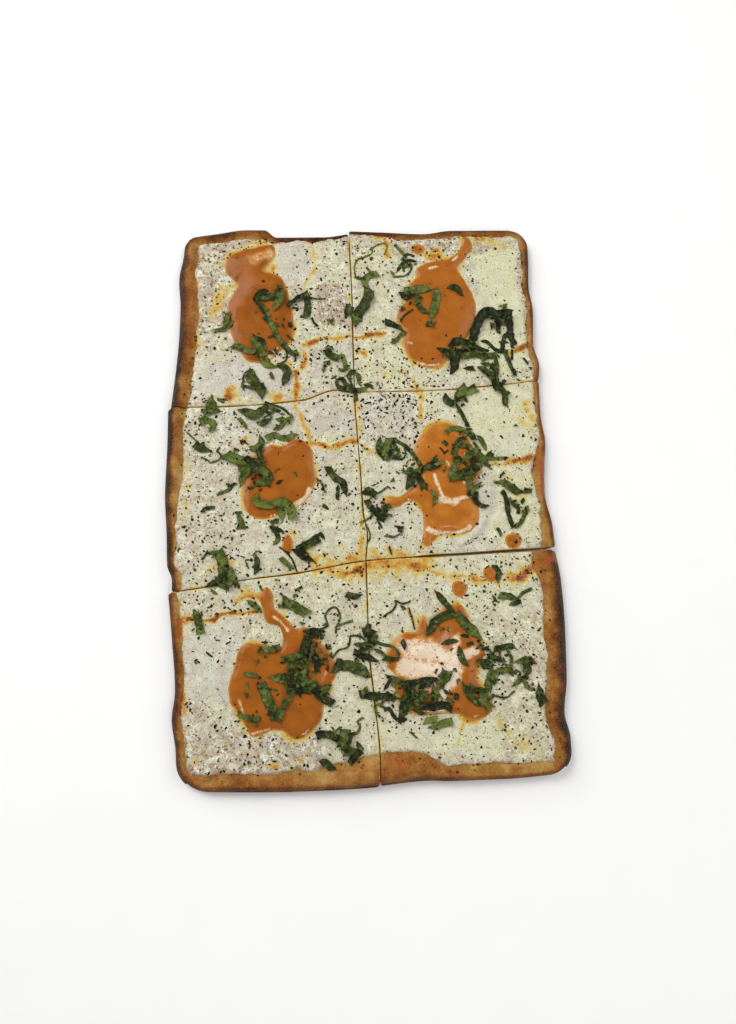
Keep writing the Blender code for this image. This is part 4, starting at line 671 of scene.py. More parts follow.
def smooth_path(points: Points, step: float, closed: bool = False) -> Array:
    """Space points evenly on a curve through the given ones.

    Args:
        points: The points the curve passes.
        step: Distance between the new points.
        closed: Whether the curve returns to its first point.

    Returns:
        The new points, one a row.
    """
    knots = np.array(points, float)
    if closed:
        ring = np.vstack([knots[-1:], knots, knots[:2]])
    else:
        ring = np.vstack([2 * knots[0] - knots[1], knots, 2 * knots[-1] - knots[-2]])
    t = np.linspace(0, 1, CURVE_PIECES, endpoint=False)[:, None]
    fine = []
    for a, b, c, d in zip(ring, ring[1:], ring[2:], ring[3:]):
        bend = (2 * a - 5 * b + 4 * c - d) * t**2 + (3 * b - a - 3 * c + d) * t**3
        fine.append(0.5 * (2 * b + (c - a) * t + bend))
    fine = np.vstack([*fine, ring[-2:-1]])
    length = np.concatenate([[0], np.cumsum(np.linalg.norm(np.diff(fine, axis=0), axis=1))])
    count = max(2, round(length[-1] / step))
    at = np.linspace(0, length[-1], count + 1)[: -1 if closed else None]
    return np.stack([np.interp(at, length, fine[:, k]) for k in range(2)], 1)


def nearest(points: Array, path: Array) -> tuple[Array, Array]:
    """Find the nearest point of a path.

    Args:
        points: Points, one a row.
        path: The path's points in order.

    Returns:
        The distance from each point, and the nearest point on the path.
    """
    best = np.full(len(points), np.inf)
    found = np.zeros((len(points), 2))
    for a, b in zip(path, path[1:]):
        run = b - a
        t = np.clip((points - a) @ run / max(run @ run, 1e-12), 0, 1)
        foot = a + t[:, None] * run
        far = np.linalg.norm(points - foot, axis=1)
        closer = far < best
        best[closer], found[closer] = far[closer], foot[closer]
    return best, found


def inside(points: Array, outline: Array) -> Array:
    """Tell which points lie within a closed outline.

    Args:
        points: Points, one a row.
        outline: The outline's points in order.

    Returns:
        One truth value a point.
    """
    x, y = np.asarray(points, float).T
    found = np.zeros(len(x), bool)
    for (ax, ay), (bx, by) in zip(outline, np.roll(outline, -1, 0)):
        if ay == by:
            continue
        found ^= ((ay > y) != (by > y)) & (x < (bx - ax) * (y - ay) / (by - ay) + ax)
    return found


def hills(xy: Array, length: float, seed: int) -> Array:
    """Make smooth uneven heights.

    Args:
        xy: Places, in any shape that ends in two.
        length: Distance between neighbouring hills and hollows.
        seed: Which of the patterns to use.

    Returns:
        Heights from -1 to 1, one for each place.
    """
    cells = PATTERN_CELLS
    table = np.random.default_rng(seed).uniform(-1, 1, (cells, cells))
    turn = 0.6 + seed
    x = (xy[..., 0] * math.cos(turn) - xy[..., 1] * math.sin(turn)) / length + 17.3
    y = (xy[..., 0] * math.sin(turn) + xy[..., 1] * math.cos(turn)) / length + 5.1
    i, j = np.floor(x).astype(int), np.floor(y).astype(int)
    u, v = x - i, y - j
    u, v = u**3 * (u * (6 * u - 15) + 10), v**3 * (v * (6 * v - 15) + 10)
    low = table[i % cells, j % cells] * (1 - u) + table[(i + 1) % cells, j % cells] * u
    high = table[i % cells, (j + 1) % cells] * (1 - u) + table[(i + 1) % cells, (j + 1) % cells] * u
    return low * (1 - v) + high * v


def drift(xy: Array, length: float, seed: int) -> Array:
    """Make smooth uneven shifts in both directions of the plan."""
    return np.stack([hills(xy, length, seed), hills(xy, length, seed + 1)], -1)


def ease(t: Array) -> Array:
    """Go from 0 to 1 without corners as t does."""
    t = np.clip(t, 0, 1)
    return t * t * (3 - 2 * t)


def fade(far: Array, width: float) -> Array:
    """Go from 1 at no distance to nearly 0 at twice the width."""
    return np.exp(-((far / width) ** 2))


class Ground:
    """What is already laid, for the height on which the next piece lies."""

    def __init__(self) -> None:
        """Start with nothing laid."""
        self.trees: list[tuple[BVHTree, Array, Array]] = []

    def add(self, mesh: Mesh) -> None:
        """Lay a finished mesh.

        Args:
            mesh: The mesh, in metres in the frame.
        """
        xyz = coordinates(mesh) / MM
        xyz[:, :2] += MIDDLE
        tree = BVHTree.FromPolygons(xyz.tolist(), triangles(mesh).tolist())
        self.trees.append((tree, xyz.min(0), xyz.max(0)))

    def heights(self, plan: Array, reach: float = 0.0) -> Array:
        """Find the highest point under or near each place.

        Args:
            plan: Places, one a row.
            reach: Radius round each place that also counts.

        Returns:
            One height a place, or -1 where nothing lies.
        """
        spots = [(0.0, 0.0)]
        if reach:
            angles = np.linspace(0, 2 * math.pi, 6, endpoint=False)
            spots += [(reach * math.cos(a), reach * math.sin(a)) for a in angles]
        best = np.full(len(plan), -1.0)
        down = Vector((0, 0, -1))
        for tree, low, high in self.trees:
            close = ((plan > low[:2] - reach) & (plan < high[:2] + reach)).all(1)
            for index in np.flatnonzero(close):
                x, y = plan[index]
                for dx, dy in spots:
                    hit = tree.ray_cast(Vector((x + dx, y + dy, ABOVE)), down)[0]
                    if hit and hit.z > best[index]:
                        best[index] = hit.z
        return best


def coordinates(mesh: Mesh) -> Array:
    """Read a mesh's points.

    Args:
        mesh: The mesh.

    Returns:
        The points, one a row.
    """
    xyz = np.empty(len(mesh.vertices) * 3, np.float32)
    mesh.vertices.foreach_get("co", xyz)
    return xyz.reshape(-1, 3).astype(float)


def triangles(mesh: Mesh) -> Array:
    """Read the numbers of each triangle's three points.

    Args:
        mesh: The mesh.

    Returns:
        The triangles, one a row.
    """
    mesh.calc_loop_triangles()
    corners = np.empty(len(mesh.loop_triangles) * 3, np.int32)
    mesh.loop_triangles.foreach_get("vertices", corners)
    return corners.reshape(-1, 3)


def in_frame(xyz: Array) -> Array:
    """Turn points in millimetres of the plan into metres of the frame.

    Args:
        xyz: The points, one a row.

    Returns:
        The moved points.
    """
    moved = np.array(xyz, float)
    moved[..., :2] -= MIDDLE
    return moved * MM


def set_attribute(mesh: Mesh, name: str, values: Array) -> None:
    """Store one number a point on a mesh."""
    made = mesh.attributes.new(name, "FLOAT", "POINT")
    made.data.foreach_set("value", np.asarray(values, np.float32).ravel())


def finished(bm: bmesh.types.BMesh, name: str) -> Mesh:
    """Turn a shape that is being built into a mesh.

    Args:
        bm: The shape, which is freed.
        name: Name of the mesh.

    Returns:
        The mesh.
    """
    mesh = bpy.data.meshes.new(name)
    bm.to_mesh(mesh)
    bm.free()
    return mesh


def placed(name: str, data: bpy.types.ID) -> Object:
    """Put an object in the scene.

    Args:
        name: Its name.
        data: Its mesh, light or camera.

    Returns:
        The object.
    """
    made = bpy.data.objects.new(name, data)
    bpy.context.scene.collection.objects.link(made)
    return made


def layered_mesh(
    name: str, bm: bmesh.types.BMesh, sheets: Sequence[Array], facts: dict[str, list[Array]]
) -> Mesh:
    """Extrude an open sheet through levels into a closed block, and place its points.

    Args:
        name: Name of the mesh.
        bm: The sheet, with each point's number in the layer "place".
        sheets: Points in millimetres for each level, lowest first, in the order of "place".
        facts: Numbers to store on the points, a list of one array a level for each name.

    Returns:
        The finished mesh, in metres.
    """
    place, level = bm.verts.layers.int["place"], bm.verts.layers.int.new("level")
    faces = bm.faces[:]
    for number in range(1, len(sheets)):
        made = bmesh.ops.extrude_face_region(bm, geom=faces)["geom"]
        if number > 1:
            bmesh.ops.delete(bm, geom=faces, context="FACES")
        faces = [item for item in made if isinstance(item, bmesh.types.BMFace)]
        for item in made:
            if isinstance(item, bmesh.types.BMVert):
                item[level] = number
    bmesh.ops.recalc_face_normals(bm, faces=bm.faces[:])
    mesh = finished(bm, name)
    count = len(mesh.vertices)
    at, up = np.empty(count, np.int32), np.empty(count, np.int32)
    mesh.attributes["place"].data.foreach_get("value", at)
    mesh.attributes["level"].data.foreach_get("value", up)
    mesh.vertices.foreach_set("co", in_frame(np.stack(sheets)[up, at]).astype(np.float32).ravel())
    for fact, values in facts.items():
        set_attribute(mesh, fact, np.stack(values)[up, at])
    for spent in ("place", "level"):
        mesh.attributes.remove(mesh.attributes[spent])
    turn_outwards(mesh)
    mesh.shade_smooth()
    mesh.set_sharp_from_angle(angle=SHARP)
    return mesh


def turn_outwards(mesh: Mesh) -> None:
    """Flip a closed mesh whose faces point inwards.

    Args:
        mesh: The mesh.
    """
    bm = bmesh.new()
    bm.from_mesh(mesh)
    if bm.calc_volume(signed=True) < 0:
        bmesh.ops.reverse_faces(bm, faces=bm.faces[:])
        bm.to_mesh(mesh)
    bm.free()


def numbered_grid(columns: int, rows: int) -> bmesh.types.BMesh:
    """Make a flat grid whose points know their number, counted column by column.

    Args:
        columns: Points from left to right.
        rows: Points from front to back.

    Returns:
        The grid.
    """
    bm = bmesh.new()
    bmesh.ops.create_grid(bm, x_segments=columns - 1, y_segments=rows - 1, size=1)
    place = bm.verts.layers.int.new("place")
    for vert in bm.verts:
        column, row = round((vert.co.x + 1) / 2 * (columns - 1)), round((vert.co.y + 1) / 2 * (rows - 1))
        vert[place] = column * rows + row
    return bm


def show(mesh: Mesh, material: Material, slot: str, *nodes: str) -> Object:
    """Put a finished mesh in the scene on the pizza's body.

    Args:
        mesh: The mesh, whose name becomes the piece's.
        material: Its finish.
        slot: A material slot's name, not used.
        nodes: The frame's nodes that it stands for.

    Returns:
        The new object.
    """
    mesh.materials.clear()
    mesh.materials.append(material)
    piece = placed(mesh.name, mesh)
    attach(piece, BODY)
    if nodes:
        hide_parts(*nodes)
    log.info("%s: %d faces", piece.name, len(mesh.polygons))
    return piece


class Sheet:
    """A node tree, with a short call for each kind of node that the finishes use."""

    def __init__(self, tree: NodeTree) -> None:
        """Work on the given tree."""
        self.tree = tree

    def node(self, kind: str, **settings: object) -> Node:
        """Add a node.

        Args:
            kind: Its type.
            settings: Its properties.

        Returns:
            The node.
        """
        made = self.tree.nodes.new(kind)
        for name, value in settings.items():
            setattr(made, name, value)
        return made

    def feed(self, target: NodeSocket, source: Source) -> None:
        """Link an output to an input, or set the input's own value.

        Args:
            target: The input.
            source: An output or a plain value.
        """
        if isinstance(source, NodeSocket):
            self.tree.links.new(source, target)
        else:
            target.default_value = source

    def attribute(self, name: str) -> NodeSocket:
        """Read a number that is stored on the points."""
        return self.node("ShaderNodeAttribute", attribute_name=name).outputs["Fac"]

    def place(self) -> NodeSocket:
        """Read the place on the object, in metres."""
        return self.node("ShaderNodeTexCoord").outputs["Object"]

    def math(self, operation: str, a: Source, b: Source = 0.0, clamp: bool = False) -> NodeSocket:
        """Work out a number.

        Args:
            operation: What is done.
            a: The first number.
            b: The second number, where the operation takes two.
            clamp: Whether the result stays between 0 and 1.

        Returns:
            The result.
        """
        made = self.node("ShaderNodeMath", operation=operation, use_clamp=clamp)
        self.feed(made.inputs[0], a)
        self.feed(made.inputs[1], b)
        return made.outputs[0]

    def plus(self, a: Source, b: Source, clamp: bool = False) -> NodeSocket:
        """Add two numbers."""
        return self.math("ADD", a, b, clamp)

    def minus(self, a: Source, b: Source) -> NodeSocket:
        """Take the second number from the first."""
        return self.math("SUBTRACT", a, b)

    def times(self, a: Source, b: Source, clamp: bool = False) -> NodeSocket:
        """Multiply two numbers."""
        return self.math("MULTIPLY", a, b, clamp)

    def swing(self, clouds: Source, amount: Source) -> NodeSocket:
        """Turn clouds from 0 to 1 into a swing to both sides of 0."""
        return self.times(self.minus(clouds, 0.5), amount)

    def span(
        self, value: Source, low: float, high: float, to_low: float = 0.0, to_high: float = 1.0
    ) -> NodeSocket:
        """Map one range smoothly onto another.

        Args:
            value: The number to map.
            low: Where the first range begins.
            high: Where the first range ends.
            to_low: Where the second range begins.
            to_high: Where the second range ends.

        Returns:
            The mapped number.
        """
        made = self.node("ShaderNodeMapRange", interpolation_type="SMOOTHSTEP")
        for index, source in enumerate((value, low, high, to_low, to_high)):
            self.feed(made.inputs[index], source)
        return made.outputs[0]

    def blend(self, factor: Source, a: Source, b: Source) -> NodeSocket:
        """Mix two colours.

        Args:
            factor: Share of the second colour.
            a: The first colour.
            b: The second colour.

        Returns:
            The mixed colour.
        """
        made = self.node("ShaderNodeMix", data_type="RGBA")
        self.feed(made.inputs["Factor"], factor)
        self.feed(made.inputs[6], a)
        self.feed(made.inputs[7], b)
        return made.outputs[2]

    def noise(self, at: NodeSocket, size: float, detail: float = 2.0, roughness: float = 0.5) -> NodeSocket:
        """Make clouds.

        Args:
            at: The place.
            size: Their size in millimetres.
            detail: How many finer clouds are added.
            roughness: How strong the finer ones are.

        Returns:
            A number from 0 to 1, which is mostly near the middle.
        """
        made = self.node("ShaderNodeTexNoise")
        self.feed(made.inputs["Vector"], at)
        made.inputs["Scale"].default_value = 1 / (size * MM)
        made.inputs["Detail"].default_value = detail
        made.inputs["Roughness"].default_value = roughness
        return made.outputs["Fac"]

    def cells(self, at: NodeSocket, size: float) -> NodeSocket:
        """Make cells.

        Args:
            at: The place.
            size: Their size in millimetres.

        Returns:
            The distance from the nearest cell's middle.
        """
        made = self.node("ShaderNodeTexVoronoi")
        self.feed(made.inputs["Vector"], at)
        made.inputs["Scale"].default_value = 1 / (size * MM)
        return made.outputs["Distance"]

    def ramp(self, factor: Source, stops: Stops) -> NodeSocket:
        """Run through colours.

        Args:
            factor: Where on the run.
            stops: Positions and colours, both ends first.

        Returns:
            The colour.
        """
        made = self.node("ShaderNodeValToRGB")
        self.feed(made.inputs["Fac"], factor)
        elements = made.color_ramp.elements
        for index, (position, colour) in enumerate(stops):
            stop = elements[index] if index < 2 else elements.new(position)
            stop.position, stop.color = position, colour
        return made.outputs["Color"]

    def bump(self, height: Source, depth: float, normal: NodeSocket | None = None) -> NodeSocket:
        """Turn heights from 0 to 1 into relief.

        Args:
            height: The heights.
            depth: Depth in millimetres.
            normal: Coarser relief that this one lies on.

        Returns:
            The normal.
        """
        made = self.node("ShaderNodeBump")
        made.inputs["Distance"].default_value = depth * MM
        self.feed(made.inputs["Height"], height)
        if normal is not None:
            self.feed(made.inputs["Normal"], normal)
        return made.outputs["Normal"]


def new_group(name: str, inputs: Sequence[str], outputs: Sequence[str]) -> NodeTree:
    """Make an empty node group that takes and puts out numbers.

    Args:
        name: Its name.
        inputs: Names of the numbers it takes.
        outputs: Names of the numbers it puts out.

    Returns:
        The group's tree.
    """
    tree = bpy.data.node_groups.new(name, "ShaderNodeTree")
    for direction, labels in (("INPUT", inputs), ("OUTPUT", outputs)):
        for label in labels:
            tree.interface.new_socket(label, in_out=direction, socket_type="NodeSocketFloat")
    return tree


@dataclass(frozen=True)
class Breakup:
    """Uneven spread of a soaked or baked mask: an edge that runs in and out, with spots on both sides."""

    name: str = "breakup"
    broad: Clouds = (7, 4, 0.62)
    small: Clouds = (2.0, 3, 0.6)
    broad_share: float = 0.6

    def group(self) -> NodeTree:
        """Build the node group once.

        Returns:
            A group that takes a mask and puts out the uneven one, and fine clouds.
        """
        found = bpy.data.node_groups.get(self.name)
        if found:
            return found
        tree = new_group(self.name, ("Mask", "Amount"), ("Mask", "Clouds"))
        sheet = Sheet(tree)
        given = sheet.node("NodeGroupInput")
        out = sheet.node("NodeGroupOutput")
        at = sheet.place()
        clouds = sheet.plus(
            sheet.times(sheet.noise(at, *self.broad), self.broad_share),
            sheet.times(sheet.noise(at, *self.small), 1 - self.broad_share),
        )
        swing = sheet.swing(clouds, given.outputs["Amount"])
        shifted = sheet.times(given.outputs["Mask"], sheet.plus(1.0, swing))
        sheet.feed(out.inputs["Mask"], sheet.plus(shifted, 0.0, True))
        sheet.feed(out.inputs["Clouds"], clouds)
        return tree

    def put(self, sheet: Sheet, mask: Source, amount: float) -> tuple[NodeSocket, NodeSocket]:
        """Place the group in a material.

        Args:
            sheet: The material's tree.
            mask: The mask to break up.
            amount: How strongly.

        Returns:
            The uneven mask, and the clouds.
        """
        made = sheet.node("ShaderNodeGroup", node_tree=self.group())
        sheet.feed(made.inputs["Mask"], mask)
        sheet.feed(made.inputs["Amount"], amount)
        return made.outputs["Mask"], made.outputs["Clouds"]


def new_material(name: str) -> tuple[Material, Sheet, Node]:
    """Make a material with a plain Principled shader.

    Args:
        name: Its name.

    Returns:
        The material, its tree, and the shader.
    """
    made = bpy.data.materials.new(name)
    made.use_nodes = True
    return made, Sheet(made.node_tree), made.node_tree.nodes["Principled BSDF"]


@dataclass(frozen=True)
class CrustFinish:
    """Baked dough: golden to nearly black, floury and finely pitted, with pale crumb on cut faces."""

    bakes: Stops = (
        (0.0, tone(190, 152, 88)), (1.0, tone(34, 24, 18)), (0.2, tone(166, 122, 60)),
        (0.4, tone(148, 92, 36)), (0.58, tone(122, 68, 26)), (0.76, tone(82, 48, 23)),
        (0.9, tone(54, 36, 24)),
    )
    flour: Colour = tone(190, 152, 92)
    char: Colour = tone(66, 40, 22)
    oiled: Colour = tone(168, 88, 32)
    crumb: Colour = tone(206, 180, 128)
    dark_crumb: Colour = tone(170, 134, 84)

    def build(self) -> Material:
        """Make the material, which reads how dark the crust is, its oil, and where it is cut.

        Returns:
            The material.
        """
        material, sheet, shader = new_material("baked_crust")
        at = sheet.place()
        bake, oil, cut = (sheet.attribute(name) for name in ("bake", "oil", "cut"))
        spread, clouds = Breakup().put(sheet, oil, 1.2)
        coarse = sheet.noise(at, 22, 3, 0.55)
        fine = sheet.noise(at, 1.3, 4, 0.7)
        swing = sheet.plus(sheet.swing(clouds, 1.0), sheet.swing(coarse, 0.5))
        swing = sheet.plus(swing, sheet.swing(fine, 0.45))
        heat = sheet.plus(bake, swing, True)
        colour = sheet.ramp(heat, self.bakes)
        dusty = sheet.span(sheet.noise(at, 0.9, 3, 0.7), 0.56, 0.7, 0.0, 0.5)
        colour = sheet.blend(dusty, colour, self.flour)
        burnt = sheet.span(sheet.noise(at, 2.4, 4, 0.65), 0.56, 0.64)
        burnt = sheet.times(burnt, sheet.span(heat, 0.24, 0.6))
        colour = sheet.blend(sheet.times(burnt, 0.75), colour, self.char)
        colour = sheet.blend(sheet.times(spread, 0.85, True), colour, self.oiled)
        crumb = sheet.blend(sheet.noise(at, 1.8, 4, 0.6), self.crumb, self.dark_crumb)
        sheet.feed(shader.inputs["Base Color"], sheet.blend(cut, colour, crumb))
        sheet.feed(shader.inputs["Roughness"], sheet.span(spread, 0.1, 0.6, 0.66, 0.35))
        shader.inputs["Specular IOR Level"].default_value = 0.2
        pits = sheet.span(sheet.cells(at, 1.6), 0.0, 0.5)
        grain = sheet.plus(sheet.times(pits, 0.5), fine)
        blister = sheet.bump(sheet.noise(at, 5, 4, 0.6), 2.6)
        sheet.feed(shader.inputs["Normal"], sheet.bump(grain, 0.5, blister))
        return material


@dataclass(frozen=True)
class CheeseFinish:
    """Melted white cheese: lilac grey to greenish cream, with baked mottles, oil and fine herb dust."""

    tints: Stops = (
        (0.0, tone(194, 185, 172)), (1.0, tone(211, 209, 158)), (0.22, tone(201, 197, 179)),
        (0.5, tone(207, 205, 171)), (0.8, tone(211, 210, 168)),
    )
    oils: Stops = (
        (0.0, tone(208, 202, 150)), (1.0, tone(116, 62, 26)), (0.2, tone(208, 190, 104)),
        (0.4, tone(200, 158, 66)), (0.62, tone(184, 118, 42)), (0.82, tone(156, 84, 30)),
    )
    # Milky, grey and lime patches: clouds, where they start and are full, how much plain cheese has, colour.
    patches: tuple[tuple[Clouds, float, float, float, Colour], ...] = (
        ((9, 4, 0.58), 0.48, 0.62, 0.22, tone(234, 235, 214)),
        ((11, 4, 0.62), 0.49, 0.6, 0.16, tone(187, 178, 162)),
        ((5.5, 5, 0.66), 0.54, 0.63, 0.1, tone(200, 190, 124)),
    )
    # Painted glints and dull curds, then fine dark and pale grain: where they start and are full, and
    # colour.
    curds_and_glints: tuple[tuple[float, float, Colour], ...] = (
        (1.03, 1.11, tone(252, 250, 236)), (0.97, 0.88, tone(146, 134, 98)),
    )
    grains: tuple[tuple[float, float, Colour], ...] = (
        (0.52, 0.66, tone(178, 168, 130)), (0.48, 0.34, tone(236, 234, 214)),
    )

    def build(self) -> Material:
        """Make the material, which reads tint, mottle, oil, herb dust and rind from the points.

        Returns:
            The material.
        """
        material, sheet, shader = new_material("melted_cheese")
        at = sheet.place()
        tint, mottle, oil, dust = (sheet.attribute(name) for name in ("tint", "mottle", "oil", "dust"))
        spread, clouds = Breakup().put(sheet, oil, 3.2)
        shift = sheet.swing(sheet.noise(at, 16, 3, 0.55), 0.9)
        colour = sheet.ramp(sheet.plus(tint, shift, True), self.tints)
        rough = sheet.plus(sheet.times(mottle, 0.9), 0.02, True)
        grainy = sheet.times(rough, sheet.span(sheet.noise(at, 13, 3, 0.6), 0.44, 0.58, 0.3, 1.0))
        for patch, low, high, least, paint in self.patches:
            mask = sheet.span(sheet.noise(at, *patch), low, high)
            colour = sheet.blend(sheet.times(mask, sheet.plus(rough, least), True), colour, paint)
        curd, lumps = sheet.noise(at, 1.6, 4, 0.66), sheet.noise(at, 3.4, 3, 0.6)
        # Bright curds are painted glints; dull curds are darker grain.
        for low, high, paint in self.curds_and_glints:
            mask = sheet.span(sheet.plus(curd, lumps), low, high)
            colour = sheet.blend(sheet.times(mask, grainy, True), colour, paint)
        fine = sheet.noise(at, 1.1, 3, 0.7)
        for low, high, paint in self.grains:
            colour = sheet.blend(sheet.span(fine, low, high, 0.0, 0.56), colour, paint)
        stirred = sheet.times(sheet.span(sheet.noise(at, 12, 5, 0.62), 0.42, 0.6), mottle)
        mauve = sheet.blend(sheet.noise(at, 9, 2), tone(184, 173, 168), tone(190, 167, 120))
        colour = sheet.blend(sheet.times(stirred, 0.9), colour, mauve)
        blotch = sheet.times(sheet.span(sheet.noise(at, 4.2, 6, 0.76), 0.51, 0.58), mottle)
        shade = sheet.blend(sheet.noise(at, 6, 2), tone(130, 112, 100), tone(158, 118, 60))
        colour = sheet.blend(sheet.times(blotch, 0.78), colour, shade)
        spots = sheet.times(sheet.span(sheet.cells(at, 3.6), 0.14, 0.3, 1.0, 0.0), mottle)
        colour = sheet.blend(sheet.times(spots, sheet.span(clouds, 0.45, 0.53)), colour, tone(98, 68, 32))
        colour = sheet.blend(sheet.span(spread, 0.1, 0.34), colour, sheet.ramp(spread, self.oils))
        speck = sheet.span(sheet.cells(at, 2.1), 0.17, 0.27, 1.0, 0.0)
        speck = sheet.times(speck, sheet.span(sheet.noise(at, 5.3, 3, 0.6), 0.47, 0.54))
        colour = sheet.blend(sheet.times(speck, dust, True), colour, tone(58, 48, 12))
        crisp = sheet.times(sheet.span(curd, 0.48, 0.58), sheet.attribute("rind"))
        colour = sheet.blend(sheet.times(crisp, 0.85), colour, tone(226, 220, 204))
        sheet.feed(shader.inputs["Base Color"], colour)
        gloss = sheet.span(spread, 0.1, 0.5, 0.32, 0.25)
        sheet.feed(shader.inputs["Roughness"], sheet.plus(gloss, sheet.times(curd, 0.08)))
        shader.inputs["Specular IOR Level"].default_value = 0.42
        shader.inputs["Subsurface Weight"].default_value = 0.1
        shader.inputs["Subsurface Radius"].default_value = (0.004, 0.003, 0.0015)
        shader.inputs["Subsurface Scale"].default_value = 1.0
        soft = sheet.bump(sheet.plus(sheet.times(lumps, sheet.plus(grainy, 0.15)), clouds), 0.8)
        crumbly = sheet.times(curd, sheet.plus(grainy, 0.2))
        sheet.feed(shader.inputs["Normal"], sheet.bump(crumbly, 0.6, soft))
        return material


@dataclass(frozen=True)
class SauceFinish:
    """Wet tomato and cream sauce, paler where it thins at its edge, with painted highlights and glare."""

    reds: Stops = (
        (0.05, tone(132, 76, 22)), (0.95, tone(196, 128, 48)), (0.3, tone(157, 88, 26)),
        (0.7, tone(176, 104, 34)),
    )
    fleck: Colour = tone(150, 72, 20)
    thin_edge: Colour = tone(198, 140, 62)
    # Golden edge, then cream and pale cream, of the cream skin and the painted highlights.
    thin_cream_and_glare: Colour = tone(206, 146, 76)
    cream: Colour = tone(206, 178, 142)
    pale_cream_and_glare: Colour = tone(246, 236, 218)

    def build(self) -> Material:
        """Make the material, which reads how near the dollop's edge is, and its cream and painted
        highlights.

        Returns:
            The material.
        """
        material, sheet, shader = new_material("tomato_cream_sauce")
        at = sheet.place()
        edge, cream = sheet.attribute("edge"), sheet.attribute("cream")
        rim, _ = Breakup().put(sheet, edge, 2.6)
        redness = sheet.plus(sheet.noise(at, 14, 4, 0.55), sheet.attribute("pale"), True)
        colour = sheet.ramp(redness, self.reds)
        flecks = sheet.span(sheet.noise(at, 1.5, 3, 0.6), 0.6, 0.72, 0.0, 0.35)
        colour = sheet.blend(flecks, colour, self.fleck)
        colour = sheet.blend(sheet.span(rim, 0.25, 0.9, 0.0, 0.7), colour, self.thin_edge)
        # Cream skin and painted highlights and glare: golden at their edges, milky white within, broken by
        # small holes.
        cream_and_glare_skin, _ = Breakup().put(sheet, cream, 3.4)
        holes = sheet.span(sheet.noise(at, 1.7, 4, 0.68), 0.5, 0.62, 0.0, 0.5)
        colour = sheet.blend(sheet.span(cream_and_glare_skin, 0.06, 0.3, 0.0, 0.75), colour, self.thin_cream_and_glare)
        cream_and_glare_white = sheet.blend(sheet.noise(at, 1.1, 3, 0.7), self.cream, self.pale_cream_and_glare)
        colour = sheet.blend(sheet.span(sheet.minus(cream_and_glare_skin, holes), 0.24, 0.5, 0.0, 0.88), colour, cream_and_glare_white)
        sheet.feed(shader.inputs["Base Color"], colour)
        wet = sheet.span(sheet.noise(at, 1.6, 3, 0.6), 0.42, 0.6, 0.05, 0.13)
        sheet.feed(shader.inputs["Roughness"], wet)
        shader.inputs["Subsurface Weight"].default_value = 0.06
        shader.inputs["Subsurface Radius"].default_value = (0.004, 0.0015, 0.0008)
        shader.inputs["Subsurface Scale"].default_value = 1.0
        shader.inputs["Specular IOR Level"].default_value = 0.26
        waves = sheet.bump(sheet.noise(at, 5.5, 2, 0.5), 0.1)
        sheet.feed(shader.inputs["Normal"], sheet.bump(sheet.noise(at, 1.3, 2, 0.5), 0.055, waves))
        return material


@dataclass(frozen=True)
class BasilFinish:
    """Wilted basil: dark green with a painted grey sheen, veins across each shred, and brown bruises."""

    greens: Stops = (
        (0.0, tone(17, 20, 6)), (1.0, tone(126, 140, 58)), (0.25, tone(40, 48, 14)), (0.5, tone(74, 86, 28)),
        (0.75, tone(101, 114, 44)),
    )
    painted_sheen: Colour = tone(122, 133, 76)
    bruise: Colour = tone(32, 28, 12)
    vein: Colour = tone(110, 122, 72)
    dark_edge: Colour = tone(26, 26, 10)

    def build(self) -> Material:
        """Make the material, which reads each shred's shade and its own directions.

        Returns:
            The material.
        """
        material, sheet, shader = new_material("wilted_basil")
        at = sheet.place()
        shade, across, along = (sheet.attribute(name) for name in ("shade", "across", "along"))
        _, clouds = Breakup().put(sheet, shade, 0.0)
        light = sheet.plus(shade, sheet.swing(clouds, 1.5), True)
        colour = sheet.ramp(light, self.greens)
        # Painted sheen: grey-green patches stand in for reflected light, stronger on lighter leaves.
        painted_sheen_mask = sheet.span(sheet.noise(at, 3.6, 4, 0.6), 0.5, 0.6, 0.0, 0.62)
        colour = sheet.blend(sheet.times(painted_sheen_mask, sheet.span(light, 0.1, 0.5, 0.3, 1.0)), colour, self.painted_sheen)
        bruised = sheet.span(sheet.noise(at, 2.2, 4, 0.65), 0.56, 0.66, 0.0, 0.62)
        colour = sheet.blend(bruised, colour, self.bruise)
        aside = sheet.math("ABSOLUTE", across)
        slant = sheet.plus(along, sheet.times(aside, 1.6))
        veins = sheet.math("ABSOLUTE", sheet.math("SINE", sheet.times(slant, 1.25)))
        relief = sheet.times(sheet.span(veins, 0.0, 0.35), sheet.span(aside, 0.0, 0.16))
        colour = sheet.blend(sheet.span(relief, 0.0, 0.6, 0.22, 0.0), colour, self.vein)
        # Darker towards the shred's edges.
        colour = sheet.blend(sheet.span(aside, 0.66, 1.0, 0.0, 0.4), colour, self.dark_edge)
        sheet.feed(shader.inputs["Base Color"], colour)
        sheet.feed(shader.inputs["Roughness"], sheet.span(clouds, 0.35, 0.65, 0.34, 0.5))
        shader.inputs["Specular IOR Level"].default_value = 0.2
        crinkle = sheet.bump(sheet.noise(at, 1.5, 3, 0.6), 0.75)
        sheet.feed(shader.inputs["Normal"], sheet.bump(relief, 0.22, crinkle))
        return material


